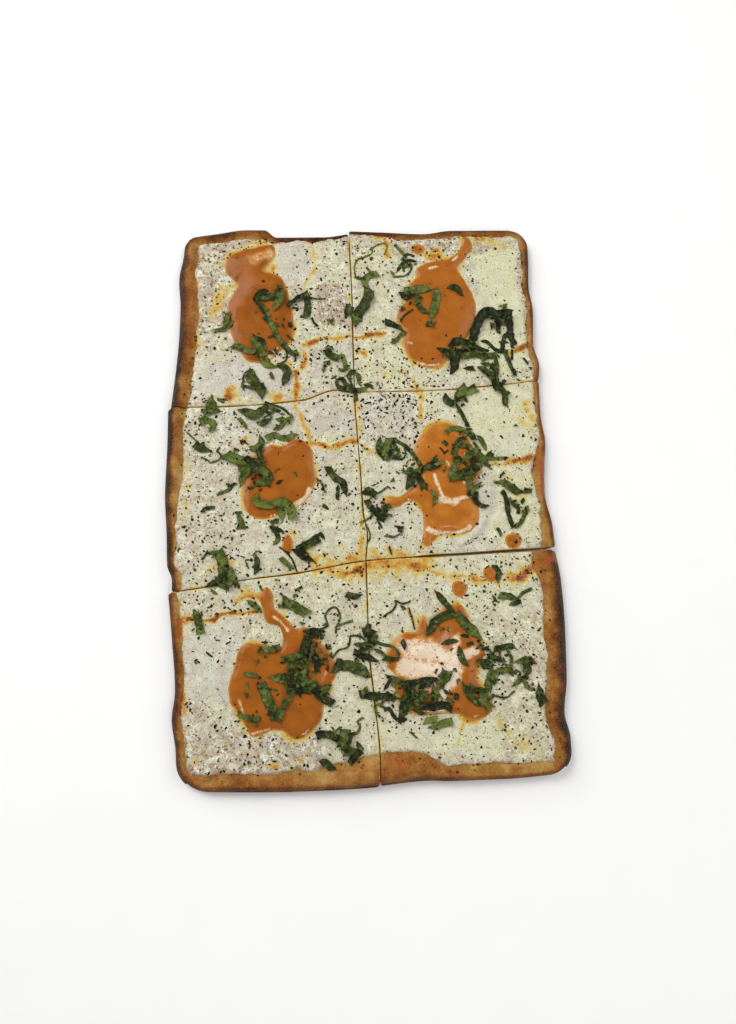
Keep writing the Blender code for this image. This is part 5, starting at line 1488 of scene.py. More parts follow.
@dataclass(frozen=True)
class HerbFinish:
    """Dried herb flakes, each with a shade of its own."""

    shades: Stops = (
        (0.0, tone(20, 16, 4)), (1.0, tone(104, 92, 26)), (0.5, tone(44, 38, 10)), (0.8, tone(70, 62, 16)),
    )
    grit: Colour = tone(44, 36, 18)

    def build(self) -> Material:
        """Make the material, which reads each flake's shade.

        Returns:
            The material.
        """
        material, sheet, shader = new_material("dried_herbs")
        colour = sheet.ramp(sheet.attribute("shade"), self.shades)
        grain = sheet.noise(sheet.place(), 0.6)
        colour = sheet.blend(sheet.span(grain, 0.4, 0.7, 0.0, 0.4), colour, self.grit)
        sheet.feed(shader.inputs["Base Color"], colour)
        shader.inputs["Roughness"].default_value = 0.8
        shader.inputs["Specular IOR Level"].default_value = 0.15
        sheet.feed(shader.inputs["Normal"], sheet.bump(grain, 0.2))
        return material


@dataclass(frozen=True)
class FloorFinish:
    """Plain pale floor."""

    pale: Colour = tone(254, 254, 253)
    dull: Colour = tone(250, 250, 249)

    def build(self) -> Material:
        """Make the material.

        Returns:
            The material.
        """
        material, sheet, shader = new_material("pale_floor")
        fine = sheet.noise(sheet.place(), 40)
        sheet.feed(shader.inputs["Base Color"], sheet.blend(fine, self.pale, self.dull))
        shader.inputs["Roughness"].default_value = 0.85
        return material


@dataclass
class Slice:
    """One sixth of the pizza, as a patch between four curves with a bare rim along its outer sides."""

    name: str
    left: Curve
    right: Curve
    front: Curve
    back: Curve
    rims: dict[Side, Curve] = field(init=False)

    def __post_init__(self) -> None:
        """Find the corners, the thickness and the rims' widths."""
        self.rims = {side: smooth_line(widths) for side, widths in RIMS[self.name].items()}
        self.dough = DOUGH + DOUGH_EXTRA.get(self.name, 0.0)
        across, along = (self.left, self.right), (self.front, self.back)
        self.corners = np.array([[meet(x, y) for y in along] for x in across])
        self.size = self.corners[1, 1] - self.corners[0, 0]

    def round_corners(self, u: Array, v: Array) -> tuple[Array, Array]:
        """Bend the patch's square corners into round ones.

        Args:
            u: Shares from the left side to the right.
            v: Shares from the front to the back.

        Returns:
            The bent shares.
        """
        width, depth = self.size
        for side_x in (Side.LEFT, Side.RIGHT):
            for side_y in (Side.FRONT, Side.BACK):
                outer = (side_x in self.rims) + (side_y in self.rims)
                if not outer:
                    continue
                radius = (SMALL_CORNER, CORNERS.get(self.name, SMALL_CORNER))[outer - 1]
                away_x = u if side_x is Side.LEFT else 1 - u
                away_y = v if side_y is Side.FRONT else 1 - v
                q = np.stack([1 - away_x * width / radius, 1 - away_y * depth / radius])
                inner = (q > 0).all(0)
                scale = np.where(inner, q.max(0) / np.maximum(np.hypot(*q), 1e-9), 1)
                away_x = np.where(inner, (1 - q[0] * scale) * radius / width, away_x)
                away_y = np.where(inner, (1 - q[1] * scale) * radius / depth, away_y)
                u = away_x if side_x is Side.LEFT else 1 - away_x
                v = away_y if side_y is Side.FRONT else 1 - away_y
        return u, v

    def plan(self, u: Array, v: Array) -> Array:
        """Place shares of the patch on the plan.

        Args:
            u: Shares from the left side to the right.
            v: Shares from the front to the back.

        Returns:
            Points in millimetres, with a last axis of two.
        """
        (lf, lb), (rf, rb) = self.corners
        y0, y1 = lf[1] + (lb[1] - lf[1]) * v, rf[1] + (rb[1] - rf[1]) * v
        x0, x1 = lf[0] + (rf[0] - lf[0]) * u, lb[0] + (rb[0] - lb[0]) * u
        u, v = u[..., None], v[..., None]
        across = (1 - u) * np.stack([self.left(y0), y0], -1) + u * np.stack([self.right(y1), y1], -1)
        along = (1 - v) * np.stack([x0, self.front(x0)], -1) + v * np.stack([x1, self.back(x1)], -1)
        flat = (1 - u) * (1 - v) * lf + u * (1 - v) * rf + (1 - u) * v * lb + u * v * rb
        return across + along - flat

    def width(self, side: Side, at: Array, ragged: float) -> Array:
        """Give the rim's width along a side, with an uneven inner edge if wanted.

        Args:
            side: The side.
            at: Positions along it.
            ragged: How uneven the inner edge is.

        Returns:
            The widths.
        """
        if side not in self.rims:
            return np.zeros_like(at)
        # Sides with names of different length read rows of the pattern that lie far apart.
        row = np.stack([at, np.full_like(at, 40.0 * len(side.value))], -1)
        return self.rims[side](at) + ragged * (1.2 * hills(row, 14, 3) + 0.8 * hills(row, 5, 8))

    def grid(self, lines_x: Array, lines_y: Array, ragged: float = 0.0) -> tuple[Array, Array, Array]:
        """Place a grid on the plan.

        A line is four numbers: how much of the low side's rim, of the space between the rims and of the high
        side's rim lies before it, and a shift in millimetres.

        Args:
            lines_x: Lines across the patch, one a row.
            lines_y: Lines along it, one a row.
            ragged: How unevenly the rims end.

        Returns:
            Points, and the width of the rim that counts at each in either direction.
        """
        width, depth = self.size
        x0, y0 = self.corners[0, 0]
        rough_x, rough_y = x0 + width * lines_x[:, 1], y0 + depth * lines_y[:, 1]
        low_x, high_x = (self.width(side, rough_y, ragged) for side in (Side.LEFT, Side.RIGHT))
        low_y, high_y = (self.width(side, rough_x, ragged) for side in (Side.FRONT, Side.BACK))
        a, b, c, d = lines_x.T[:, :, None]
        u = (a * low_x + b * (width - low_x - high_x) + c * high_x + d) / width
        a, b, c, d = lines_y.T[:, None, :]
        v = (a * low_y[:, None] + b * (depth - low_y - high_y)[:, None] + c * high_y[:, None] + d) / depth
        near_x = np.where(lines_x[:, 1, None] < 0.5, low_x, high_x)
        near_y = np.where(lines_y[None, :, 1] < 0.5, low_y[:, None], high_y[:, None])
        return self.plan(*self.round_corners(u, v)), near_x, near_y

    def outer_edge(self, step: float = 4.0) -> list[tuple[Side, Array]]:
        """Trace the outer sides.

        Args:
            step: About how far apart the points are.

        Returns:
            Each outer side with its path.
        """
        t = np.linspace(0, 1, round(self.size.max() / step))
        low, high = np.zeros_like(t), np.ones_like(t)
        ends = {Side.LEFT: (low, t), Side.RIGHT: (high, t), Side.FRONT: (t, low), Side.BACK: (t, high)}
        return [(side, self.plan(*self.round_corners(*ends[side]))) for side in self.rims]


def meet(side_x: Curve, side_y: Curve) -> tuple[float, float]:
    """Find the corner where two curves cross.

    Args:
        side_x: An x for each y.
        side_y: A y for each x.

    Returns:
        The corner.
    """
    x, y = 0.0, 0.0
    for _ in range(30):
        x = float(side_x(y))
        y = float(side_y(x))
    return x, y


def make_slices() -> list[Slice]:
    """Cut the pizza along its three cuts.

    Returns:
        The six slices.
    """
    long_cut, back_cut, front_cut = (smooth_line(points) for points in (LONG_CUT, BACK_CUT, FRONT_CUT))
    front_gap = smooth_line(FRONT_GAP)
    rows = {
        "back": {Side.FRONT: lambda x: back_cut(x) + CUT / 2},
        "middle": {
            Side.FRONT: lambda x: front_cut(x) + front_gap(x) / 2,
            Side.BACK: lambda x: back_cut(x) - CUT / 2,
        },
        "front": {Side.BACK: lambda x: front_cut(x) - front_gap(x) / 2},
    }
    columns = {
        "left": {Side.RIGHT: lambda y: long_cut(y) - CUT / 2},
        "right": {Side.LEFT: lambda y: long_cut(y) + CUT / 2},
    }
    slices = []
    for row, cuts_y in rows.items():
        for column, cuts_x in columns.items():
            name = f"{row}_{column}"
            sides = {side: smooth_line(points) for side, points in OUTER[name].items()} | cuts_y | cuts_x
            slices.append(Slice(name, *(sides[side] for side in Side)))
    return slices


def trace(xy: Array, route: Points, width: float) -> Array:
    """Draw a soft uneven line.

    Args:
        xy: Places, one a row.
        route: The points it passes.
        width: How wide it is on either side.

    Returns:
        Strength from 0 to 1.
    """
    path = smooth_path(route, ROUTE_STEP)
    drawn = np.zeros(len(xy))
    near = ((xy > path.min(0) - 3 * width) & (xy < path.max(0) + 3 * width)).all(1)
    if near.any():
        far = nearest(xy[near], path)[0] / (width * (1 + 0.45 * hills(xy[near], 6, 35)))
        drawn[near] = np.exp(-(far**2))
    return drawn


def stain_strength(xy: Array) -> Array:
    """Work out how far oil and sauce have soaked in.

    Args:
        xy: Places, one a row.

    Returns:
        Strength from 0 to 1.
    """
    soaked = np.zeros(len(xy))
    warped = xy + 1.3 * drift(xy, 6, 31)
    warped += 2.0 * drift(xy, 17, 33)
    patchy = 0.84 + 0.3 * hills(xy, 7, 36) + 0.16 * hills(xy, 2.6, 37)
    for width, strength, *route in STAINS:
        drawn = trace(warped, pairs(route), width)
        soaked = np.maximum(soaked, strength * patchy * (0.66 * drawn**1.8 + 0.34 * drawn**0.4))
    return soaked


def looks(flat: Array) -> tuple[Array, Array, Array]:
    """Work out the tint and the mottling of the melted patches, and the grooves between them.

    Args:
        flat: Places, one a row.

    Returns:
        Tint from lilac to cream, mottling and grooves, all from 0 to 1.
    """
    tint, mottle, groove = np.full(len(flat), 0.5), np.full(len(flat), 0.4), np.zeros(len(flat))
    warped = flat + 6.0 * drift(flat, 24, 51)
    x, y = (warped + 2.2 * drift(flat, 8, 53)).T
    for left, front, right, back, hue, rough in PATCHES:
        depth = np.minimum(np.minimum(x - left, right - x), np.minimum(y - front, back - y))
        weight = ease(depth / 5 + 0.5)
        tint += (hue - tint) * ease(depth / 10 + 0.5)
        mottle += (rough - mottle) * weight
        groove = np.maximum(groove * (1 - weight), fade(depth, 1.7))
    return tint, mottle, groove


@dataclass
class Crust:
    """A slice's dough with its rim."""

    slice_: Slice
    material: Material
    cell: float = 1.95

    def lines(self, low: Side, high: Side, length: float, inset: dict[Side, float]) -> Array:
        """Lay grid lines between two sides, close together over an outer side's rim.

        Args:
            low: The side where the lines begin.
            high: The side where they end.
            length: Distance between the sides.
            inset: How far each outer side is moved in.

        Returns:
            The lines, one a row.
        """
        shares = np.array(RIM_LINES)
        count = round(length / self.cell)
        rows = [(1, t, 0, 0) for t in np.linspace(0, 1, count + 1)]
        pull = np.exp(-shares * 9)
        if low in self.slice_.rims:
            rows = [(t, 0, 0, shift) for t, shift in zip(shares, inset[low] * pull)] + rows
        if high in self.slice_.rims:
            rows += [(1, 1, 1 - t, -shift) for t, shift in zip(shares[::-1], inset[high] * pull[::-1])]
        return np.array(rows, float)

    def mesh(self) -> Mesh:
        """Build the closed mesh with its bake, oil and cut masks.

        Returns:
            The mesh.
        """
        piece = self.slice_
        levels = [*SIDE_PROFILE, (None, TOP_INSET)]
        sheets, bakes, oils, cuts = [], [], [], []
        shape = smooth_line(RIM_SHAPE)
        edges = piece.outer_edge()
        for height, back_off in levels:
            lean = ease(np.array([1.0 if height is None else height / FULL_LEAN]))[0]
            inset = {side: back_off - LEAN[side] * lean for side in Side}
            lines_x = self.lines(Side.LEFT, Side.RIGHT, piece.size[0], inset)
            lines_y = self.lines(Side.FRONT, Side.BACK, piece.size[1], inset)
            plan, near_x, near_y = piece.grid(lines_x, lines_y)
            in_x, in_y = (np.minimum(lines[:, 0], 1 - lines[:, 2]) for lines in (lines_x, lines_y))
            in_x, in_y = np.meshgrid(in_x, in_y, indexing="ij")
            share = np.minimum(in_x, in_y)
            z = np.zeros(share.shape)
            top = height is None
            if top:
                crest = RIM_RISE[0] + RIM_RISE[1] * np.where(in_x < in_y, near_x, near_y)
                crest = crest * (1 + 0.22 * hills(plan, 20, 12))
                bubbly = 0.45 * hills(plan, 7, 14) + 0.22 * hills(plan, 3, 15)
                z = piece.dough + crest * shape(share) + bubbly * ease(4 * share) * ease(4 * (1 - share))
            else:
                wobble = 0.5 * hills(plan, 9, 18) * math.sin(math.pi * height / DOUGH)
                z += np.clip(height + 0.4 * wobble * (height > 0), 0, None)
            flat = plan.reshape(-1, 2)
            bake = self.bake(flat, share.ravel(), edges, 1.0 if top else height / DOUGH)
            sheets.append(np.column_stack([flat, z.ravel()]))
            bakes.append(bake)
            oils.append(stain_strength(flat) if top else np.zeros(len(flat)))
            rim = np.min([nearest(flat, path)[0] for _, path in edges], 0)
            crumb = ease((rim - 1.2) / 2) * ease(10 * share.ravel())
            cuts.append(crumb * (not top and height > 0))
        bm = numbered_grid(*plan.shape[:2])
        facts = {"bake": bakes, "oil": oils, "cut": cuts}
        return layered_mesh(f"crust_{piece.name}_baked", bm, sheets, facts)

    def bake(self, flat: Array, share: Array, edges: list[tuple[Side, Array]], height: float) -> Array:
        """Work out how dark the dough is baked.

        Args:
            flat: Places, one a row.
            share: How far in over the rim each lies.
            edges: The outer sides as paths.
            height: Height as a share of the dough's.

        Returns:
            Darkness from 0 to 1.
        """
        far = np.stack([nearest(flat, path)[0] for _, path in edges])
        tones = np.array([BAKE[self.slice_.name, side] for side, _ in edges])
        weight = 1 / (far + 0.8) ** 2
        edge, rest, reach = (tones.T[:, :, None] * weight).sum(1) / weight.sum(0)
        reach = reach * (1 + 0.3 * hills(flat, 18, 41) + 0.2 * hills(flat, 6, 42))
        rim = 1 - ease((far.min(0) * (share > 0) - 0.12 * reach) / reach)
        dark = rest + (edge - rest) * rim + 0.13 * hills(flat, 26, 44) + 0.12 * hills(flat, 8, 45)
        side = 0.5 + 0.35 * (edge - 0.6) + 0.1 * math.sin(math.pi * height)
        outside = np.maximum(side, dark) if height < 1 else dark
        return np.where(share > 0, dark - 0.1 * ease((share - 0.5) * 2), outside)

    def make(self) -> Object:
        """Build and dress the piece."""
        return show(self.mesh(), self.material, "crust", f"crust_{self.slice_.name}")


@dataclass
class Cheese:
    """A slice's melted cheese, laid over its crust."""

    slice_: Slice
    material: Material
    cell: float = 1.3

    def lines(self, low: Side, high: Side, length: float) -> Array:
        """Lay grid lines between two sides, close together at both ends.

        Args:
            low: The side where the lines begin.
            high: The side where they end.
            length: Distance between the sides.

        Returns:
            The lines, one a row.
        """
        steps = [CHEESE_RIM_LINES if side in self.slice_.rims else CHEESE_CUT_LINES for side in (low, high)]
        before, after = np.array(steps)
        count = round(length / self.cell)
        t = np.linspace(0, 1, count + 1)[1:-1]
        rows = [(1, 0, 0, d) for d in before]
        rows += [(1, s, 0, before[-1] * (1 - s) - after[-1] * s) for s in t]
        rows += [(1, 1, 0, -d) for d in after[::-1]]
        return np.array(rows, float)

    def make(self, ground: Ground) -> Object:
        """Build and dress the piece.

        Args:
            ground: What is already laid.

        Returns:
            The finished piece.
        """
        piece = self.slice_
        lines_x = self.lines(Side.LEFT, Side.RIGHT, piece.size[0])
        lines_y = self.lines(Side.FRONT, Side.BACK, piece.size[1])
        plan, _, _ = piece.grid(lines_x, lines_y, ragged=1.0)
        shape = plan.shape[:2]
        flat = plan.reshape(-1, 2)
        below = np.maximum(ground.heights(flat), piece.dough) + 0.03
        tint, mottle, groove = looks(flat)
        away = {
            Side.LEFT: plan - plan[:1], Side.RIGHT: plan - plan[-1:],
            Side.FRONT: plan - plan[:, :1], Side.BACK: plan - plan[:, -1:],
        }
        rim, cut = np.full(shape, FAR), np.full(shape, FAR)
        for side, run in away.items():
            far = np.linalg.norm(run, axis=-1)
            if side in piece.rims:
                rim = np.minimum(rim, far)
            else:
                cut = np.minimum(cut, far)
        rim, cut = rim.ravel(), cut.ravel()
        thick = CHEESE + 0.55 * hills(flat, 42, 61) + 0.34 * hills(flat, 17, 62) + 0.2 * hills(flat, 8, 65)
        thick += 0.35 * (0.5 - mottle) + mottle * (0.22 * hills(flat, 4.2, 63) + 0.16 * hills(flat, 2.2, 64))
        thick -= 0.4 * groove * (0.6 + 0.4 * hills(flat, 11, 66))
        # Raised folds are tinted lilac grey along their ridges as painted shade.
        for width, height, *route in FOLDS:
            fold = trace(flat, pairs(route), width)
            thick += 1.4 * height * fold
            tint = tint - 0.55 * max(height, 0) * fold
        runs_out = 1 - np.exp(-rim / 1.3)
        thick = 0.12 + (thick - 0.12) * runs_out - 0.55 * np.exp(-cut / 0.55) - 0.25 * np.exp(-cut / 2.2)
        oil = np.max([
            stain_strength(flat),
            self.halo(flat),
            0.3 * fade(rim, 1.6) * (0.6 + 0.4 * hills(flat, 12, 71)),
            0.34 * fade(cut, 1.6) * (0.5 + 0.7 * hills(flat, 12, 72)),
            0.55 * fade(cut, 0.4) * ease(0.7 + hills(flat, 25, 73)),
            0.16 * groove * ease(0.4 + 1.1 * hills(flat, 19, 75)),
        ], 0)
        rind = np.exp(-rim / 3.0) * (0.6 + 0.5 * hills(flat, 14, 74))
        brown = mottle + 0.35 * np.exp(-rim / 3.5)
        dust = np.clip(0.35 + 0.25 * herb_density(flat), 0, 1)
        sheets = [np.column_stack([flat, below]), np.column_stack([flat, below + np.maximum(thick, 0.1)])]
        facts = {"tint": tint, "mottle": brown, "oil": oil, "dust": dust, "rind": rind.clip(0)}
        levels = {name: [values] * 2 for name, values in facts.items()}
        mesh = layered_mesh(f"cheese_{piece.name}_melted", numbered_grid(*shape), sheets, levels)
        return show(mesh, self.material, "cheese", f"cheese_{piece.name}")

    def halo(self, flat: Array) -> Array:
        """Work out the ring of oil round the dollops.

        Args:
            flat: Places, one a row.

        Returns:
            Strength from 0 to 1.
        """
        ring = np.zeros(len(flat))
        for outline in SAUCES.values():
            path = smooth_path(outline, ROUTE_STEP, closed=True)
            near = ((flat > path.min(0) - 12) & (flat < path.max(0) + 12)).all(1)
            if near.any():
                far = nearest(flat[near], np.vstack([path, path[:1]]))[0]
                strength = 0.27 + 0.27 * hills(flat[near], 16, 81)
                ring[near] = np.maximum(ring[near], strength * fade(far, 3.6))
        return ring


@dataclass
class Dollop:
    """A dollop or a drop of sauce."""

    node: str
    outline: Array
    material: Material
    depth: float = SAUCE
    cell: float = 1.1

    def make(self, ground: Ground) -> Object:
        """Build and dress the piece.

        Args:
            ground: What is already laid.

        Returns:
            The finished piece.
        """
        edge = smooth_path(self.outline, 1.6, closed=True)
        run = np.roll(edge, -1, 0) - np.roll(edge, 1, 0)
        normal = np.stack([-run[:, 1], run[:, 0]], 1) / np.linalg.norm(run, axis=1)[:, None]
        edge = edge + normal * (0.7 * hills(edge, 7, 91) + 0.35 * hills(edge, 3, 92))[:, None]
        ring = np.vstack([edge, edge[:1]])
        low, high = edge.min(0) - self.cell, edge.max(0) + self.cell
        columns, rows = (round(float(s) / self.cell) + 1 for s in high - low)
        lines = np.linspace(low[0], high[0], columns), np.linspace(low[1], high[1], rows)
        x, y = np.meshgrid(*lines, indexing="ij")
        flat = np.stack([x.ravel(), y.ravel()], 1)
        far, foot = nearest(flat, ring)
        within = inside(flat, edge)
        keep = within | (far < 0.45 * self.cell)
        bm = numbered_grid(columns, rows)
        place = bm.verts.layers.int["place"]
        bmesh.ops.delete(bm, geom=[v for v in bm.verts if not keep[v[place]]], context="VERTS")
        bmesh.ops.delete(bm, geom=[v for v in bm.verts if not v.link_faces], context="VERTS")
        border = np.zeros(len(flat), bool)
        border[[v[place] for v in bm.verts if v.is_boundary]] = True
        flat[border] = foot[border]
        far = np.where(border | ~within, 0.0, far)
        below = np.full(len(flat), DOUGH)
        below[keep] = ground.heights(flat[keep], 0.6) + 0.02
        swell = 1 - np.exp(-far / 3.2)
        level = self.levelled(below.reshape(columns, rows), keep.reshape(columns, rows)).ravel()
        lumps = 0.2 * hills(flat, 18, 93) + 0.07 * hills(flat, 7, 94)
        thick = 0.16 + (self.depth - 0.16 + lumps) * swell
        lip = flat + np.where(border, 1, 0)[:, None] * 0.25 * self.outward(flat)
        thin = fade(far, 1.5)
        # Cream skin and painted highlights and glare, which also raise the surface a little.
        cream = np.zeros(len(flat))
        for width, strength, *route in CREAM_AND_GLARE:
            cream = np.maximum(cream, strength * trace(flat, pairs(route), width))
        top = np.maximum(below + 0.16, below + (level - below) * swell + thick) + 0.15 * cream
        sheets = [
            np.column_stack([flat, below]),
            np.column_stack([lip, below + 0.08]),
            np.column_stack([flat, top]),
        ]
        pale = np.full(len(flat), SAUCE_PALE.get(self.node, 0.0))
        facts = {"edge": [thin] * 3, "cream": [cream] * 3, "pale": [pale] * 3}
        mesh = layered_mesh(f"{self.node}_wet", bm, sheets, facts)
        return show(mesh, self.material, "sauce", self.node)

    def levelled(self, below: Array, keep: Array) -> Array:
        """Even out the heights below, as the surface of a liquid does.

        Args:
            below: Heights on the grid.
            keep: Which of them lie under the sauce.

        Returns:
            The evened heights.
        """
        total, weight = below * keep, keep.astype(float)
        for _ in range(3):
            for axis in (0, 1):
                for data in (total, weight):
                    padded = np.pad(data, [(4, 4) if a == axis else (0, 0) for a in (0, 1)])
                    length = data.shape[axis]
                    data[...] = sum(np.take(padded, range(k, k + length), axis) for k in range(9)) / 9
        return total / np.maximum(weight, 1e-9)

    def outward(self, flat: Array) -> Array:
        """Give the direction away from the middle of the dollop."""
        away = flat - self.outline.mean(0)
        return away / np.maximum(np.linalg.norm(away, axis=1), 1e-9)[:, None]


@dataclass
class Ribbon:
    """One basil shred: a torn strip that twists, folds and crinkles."""

    width: float
    points: Points
    seed: int
    shade: float

    def __post_init__(self) -> None:
        """Lay the strip's middle line out."""
        self.rng = np.random.default_rng(self.seed)
        self.path = smooth_path(self.points, 0.95 if self.width > 2 else 1.5)
        run = np.gradient(self.path, axis=0)
        self.along = run / np.linalg.norm(run, axis=1)[:, None]
        self.arc = np.concatenate([[0], np.cumsum(np.linalg.norm(np.diff(self.path, axis=0), axis=1))])
        self.across = np.linspace(-1, 1, 3 if self.width < 2 else 5 if self.width < 3.5 else 7)
        self.row = np.stack([self.arc, np.full_like(self.arc, self.seed * 1.7)], -1)

    def halves(self) -> Array:
        """Give the torn half widths on both sides, with a pointed or a cut end.

        Returns:
            Two widths for each point of the middle line.
        """
        sides = []
        for side in (3, 5):
            torn = 1 + 0.15 * hills(self.row, 4.2, side) + 0.12 * hills(self.row, 1.6, side + 1)
            sides.append(self.width / 2 * torn)
        halves = np.stack(sides, 1)
        for away in (self.arc, self.arc[-1] - self.arc):
            if self.width > 2 and self.rng.random() < 0.45:
                halves = halves * np.clip(away / (1.1 * self.width) + 0.08, 0, 1)[:, None] ** 0.7
        return halves

    def plan(self, halves: Array) -> Array:
        """Place the strip on the plan, with its ends cut askew.

        Args:
            halves: Half widths on both sides.

        Returns:
            Points in rows across the strip.
        """
        side = np.stack([-self.along[:, 1], self.along[:, 0]], 1)
        reach = np.where(self.across < 0, halves[:, :1] * self.across, halves[:, 1:] * self.across)
        askew = np.zeros(len(self.arc))
        for away in (self.arc, self.arc[-1] - self.arc):
            askew += self.rng.uniform(-0.4, 0.4) * self.width * np.exp(-away / (0.5 * self.width))
        shift = askew[:, None] * self.across
        return self.path[:, None] + side[:, None] * reach[..., None] + self.along[:, None] * shift[..., None]

    def lift(self, halves: Array) -> Array:
        """Work out how far the strip stands off what it lies on.

        Args:
            halves: Half widths on both sides.

        Returns:
            A height for each point.
        """
        half = np.minimum(halves.mean(1), 3.2)[:, None]
        lean = hills(self.row, 8, 9)[:, None] * self.rng.uniform(0.3, 1.0)
        fold = self.rng.uniform(-0.55, 0.6)
        wide = np.abs(self.across)
        crease = fold * wide if fold > 0 else fold * (wide - 1)
        ruffled = np.stack(np.broadcast_arrays(self.arc[:, None] + 40 * np.sign(self.across), wide * 2), -1)
        ruffle = 0.4 * wide**2 * (hills(ruffled + self.seed, 3.2, 10) + 0.3).clip(0)
        ends = self.rng.uniform(0, 0.5, 2)
        tips = ends[0] * np.exp(-self.arc / 2.5) + ends[1] * np.exp((self.arc - self.arc[-1]) / 2.5)
        return half * (0.5 * (lean * self.across + np.abs(lean)) + 0.6 * crease + ruffle + tips[:, None])

    def mesh(self, ground: Ground, own: Ground, thickness: float, ceiling: float) -> Mesh:
        """Build the strip on what lies below.

        Args:
            ground: What the bundle lies on.
            own: The bundle's earlier shreds.
            thickness: Thickness of the leaf.
            ceiling: Height that nothing passes.

        Returns:
            The closed mesh.
        """
        halves = self.halves()
        plan = self.plan(halves)
        flat = plan.reshape(-1, 2)
        floor = np.maximum(ground.heights(flat, 0.45), own.heights(flat, 0.35)) + 0.06
        floor = floor.reshape(plan.shape[:2])
        spine = floor.max(1)
        spine = np.maximum(spine, np.convolve(np.pad(spine, 2, "edge"), np.ones(5) / 5, "valid"))
        z = np.maximum(floor, 0.6 * spine[:, None] + 0.4 * floor)
        z = z + self.lift(halves) + 0.14 * hills(plan, 1.9, 12)
        over = z - (ceiling - thickness - 1.2)
        z = np.where(over > 0, z - over + 1.2 * np.tanh(over / 1.2), z)
        shade = self.shade + 0.16 * hills(self.row, 9, 13)[:, None] + 0.1 * hills(plan, 3.5, 14)
        shape = plan.shape[:2]
        facts = {
            "shade": shade.clip(0.02, 1),
            "across": np.broadcast_to(self.across, shape),
            "along": np.broadcast_to(self.arc[:, None], shape),
        }
        low = np.column_stack([flat, z.ravel()])
        sheets = [low, low + np.array([0, 0, thickness])]
        bm = numbered_grid(*shape)
        return layered_mesh("shred", bm, sheets, {name: [v.ravel()] * 2 for name, v in facts.items()})


@dataclass
class BasilBundle:
    """A bundle of basil shreds, each draped over what lies below."""

    name: str
    shreds: Sequence[tuple]
    material: Material
    shade: float = USUAL_SHADE
    strewn: Sequence[tuple] = ()
    thickness: float = 0.32
    ceiling: float = 19.7

    def ribbons(self) -> list[Ribbon]:
        """Cut the given shreds, and small scraps that lie among them.

        Returns:
            The shreds, lowest first.
        """
        rng = np.random.default_rng(sum(map(ord, self.name)))
        found = []
        # Piles and heaps have more and larger scraps.
        heaped = "pile" in self.name or "heap" in self.name
        for index, (width, *route) in enumerate(self.shreds):
            seed = int(rng.integers(1, 9999))
            found.append(Ribbon(width, pairs(route), seed, self.shade + rng.uniform(-0.27, 0.27)))
            path = found[-1].path
            for _ in range(int(rng.random() < 0.35 * (width > 3)) + 1 * heaped * (index % 2)):
                middle = path[rng.integers(len(path))] + rng.normal(0, 0.5 * width, 2)
                turn, reach = rng.uniform(0, math.pi), rng.uniform(1.2, 2.6 + 1.6 * heaped)
                run = reach * np.array([math.cos(turn), math.sin(turn)])
                bent = middle + rng.normal(0, 0.5, 2)
                scrap = (middle - run, bent, middle + run)
                size = rng.uniform(1.3, 2.4 + 1.2 * heaped)
                found.append(Ribbon(size, scrap, seed + 1, self.shade + rng.uniform(-0.2, 0.3)))
        for x, y, half_x, half_y, count in self.strewn:
            for _ in range(count):
                middle = np.array([x, y]) + rng.normal(0, 0.55, 2) * (half_x, half_y)
                turn, reach = rng.uniform(0, math.pi), rng.uniform(0.9, 3.0)
                run = reach * np.array([math.cos(turn), math.sin(turn)])
                scrap = (middle - run, middle + rng.normal(0, 0.4, 2), middle + run)
                shade = self.shade + rng.uniform(-0.4, 0.25)
                found.append(Ribbon(rng.uniform(0.9, 3.4), scrap, int(rng.integers(1, 9999)), shade))
        return found

    def make(self, ground: Ground) -> Object:
        """Build and dress the bundle.

        Args:
            ground: What is already laid.

        Returns:
            The finished piece.
        """
        own = Ground()
        bm = bmesh.new()
        for ribbon in self.ribbons():
            mesh = ribbon.mesh(ground, own, self.thickness, self.ceiling)
            own.add(mesh)
            bm.from_mesh(mesh)
            bpy.data.meshes.remove(mesh)
        joined = finished(bm, f"{self.name}_leaves")
        joined.shade_smooth()
        joined.set_sharp_from_angle(angle=LEAF_SHARP)
        nodes = (self.name,) if self.name in BASIL else ()
        return show(joined, self.material, "basil", *nodes)


def herb_density(flat: Array) -> Array:
    """Work out how many dried flakes lie on each square centimetre.

    Args:
        flat: Places, one a row.

    Returns:
        One number a place.
    """
    many = HERB_BASE * (1 + 0.6 * hills(flat, 30, 111))
    for x, y, half_x, half_y, extra in HERB_SPOTS:
        many = many + extra * np.exp(-(((flat[:, 0] - x) / half_x) ** 2) - ((flat[:, 1] - y) / half_y) ** 2)
    return many.clip(0)


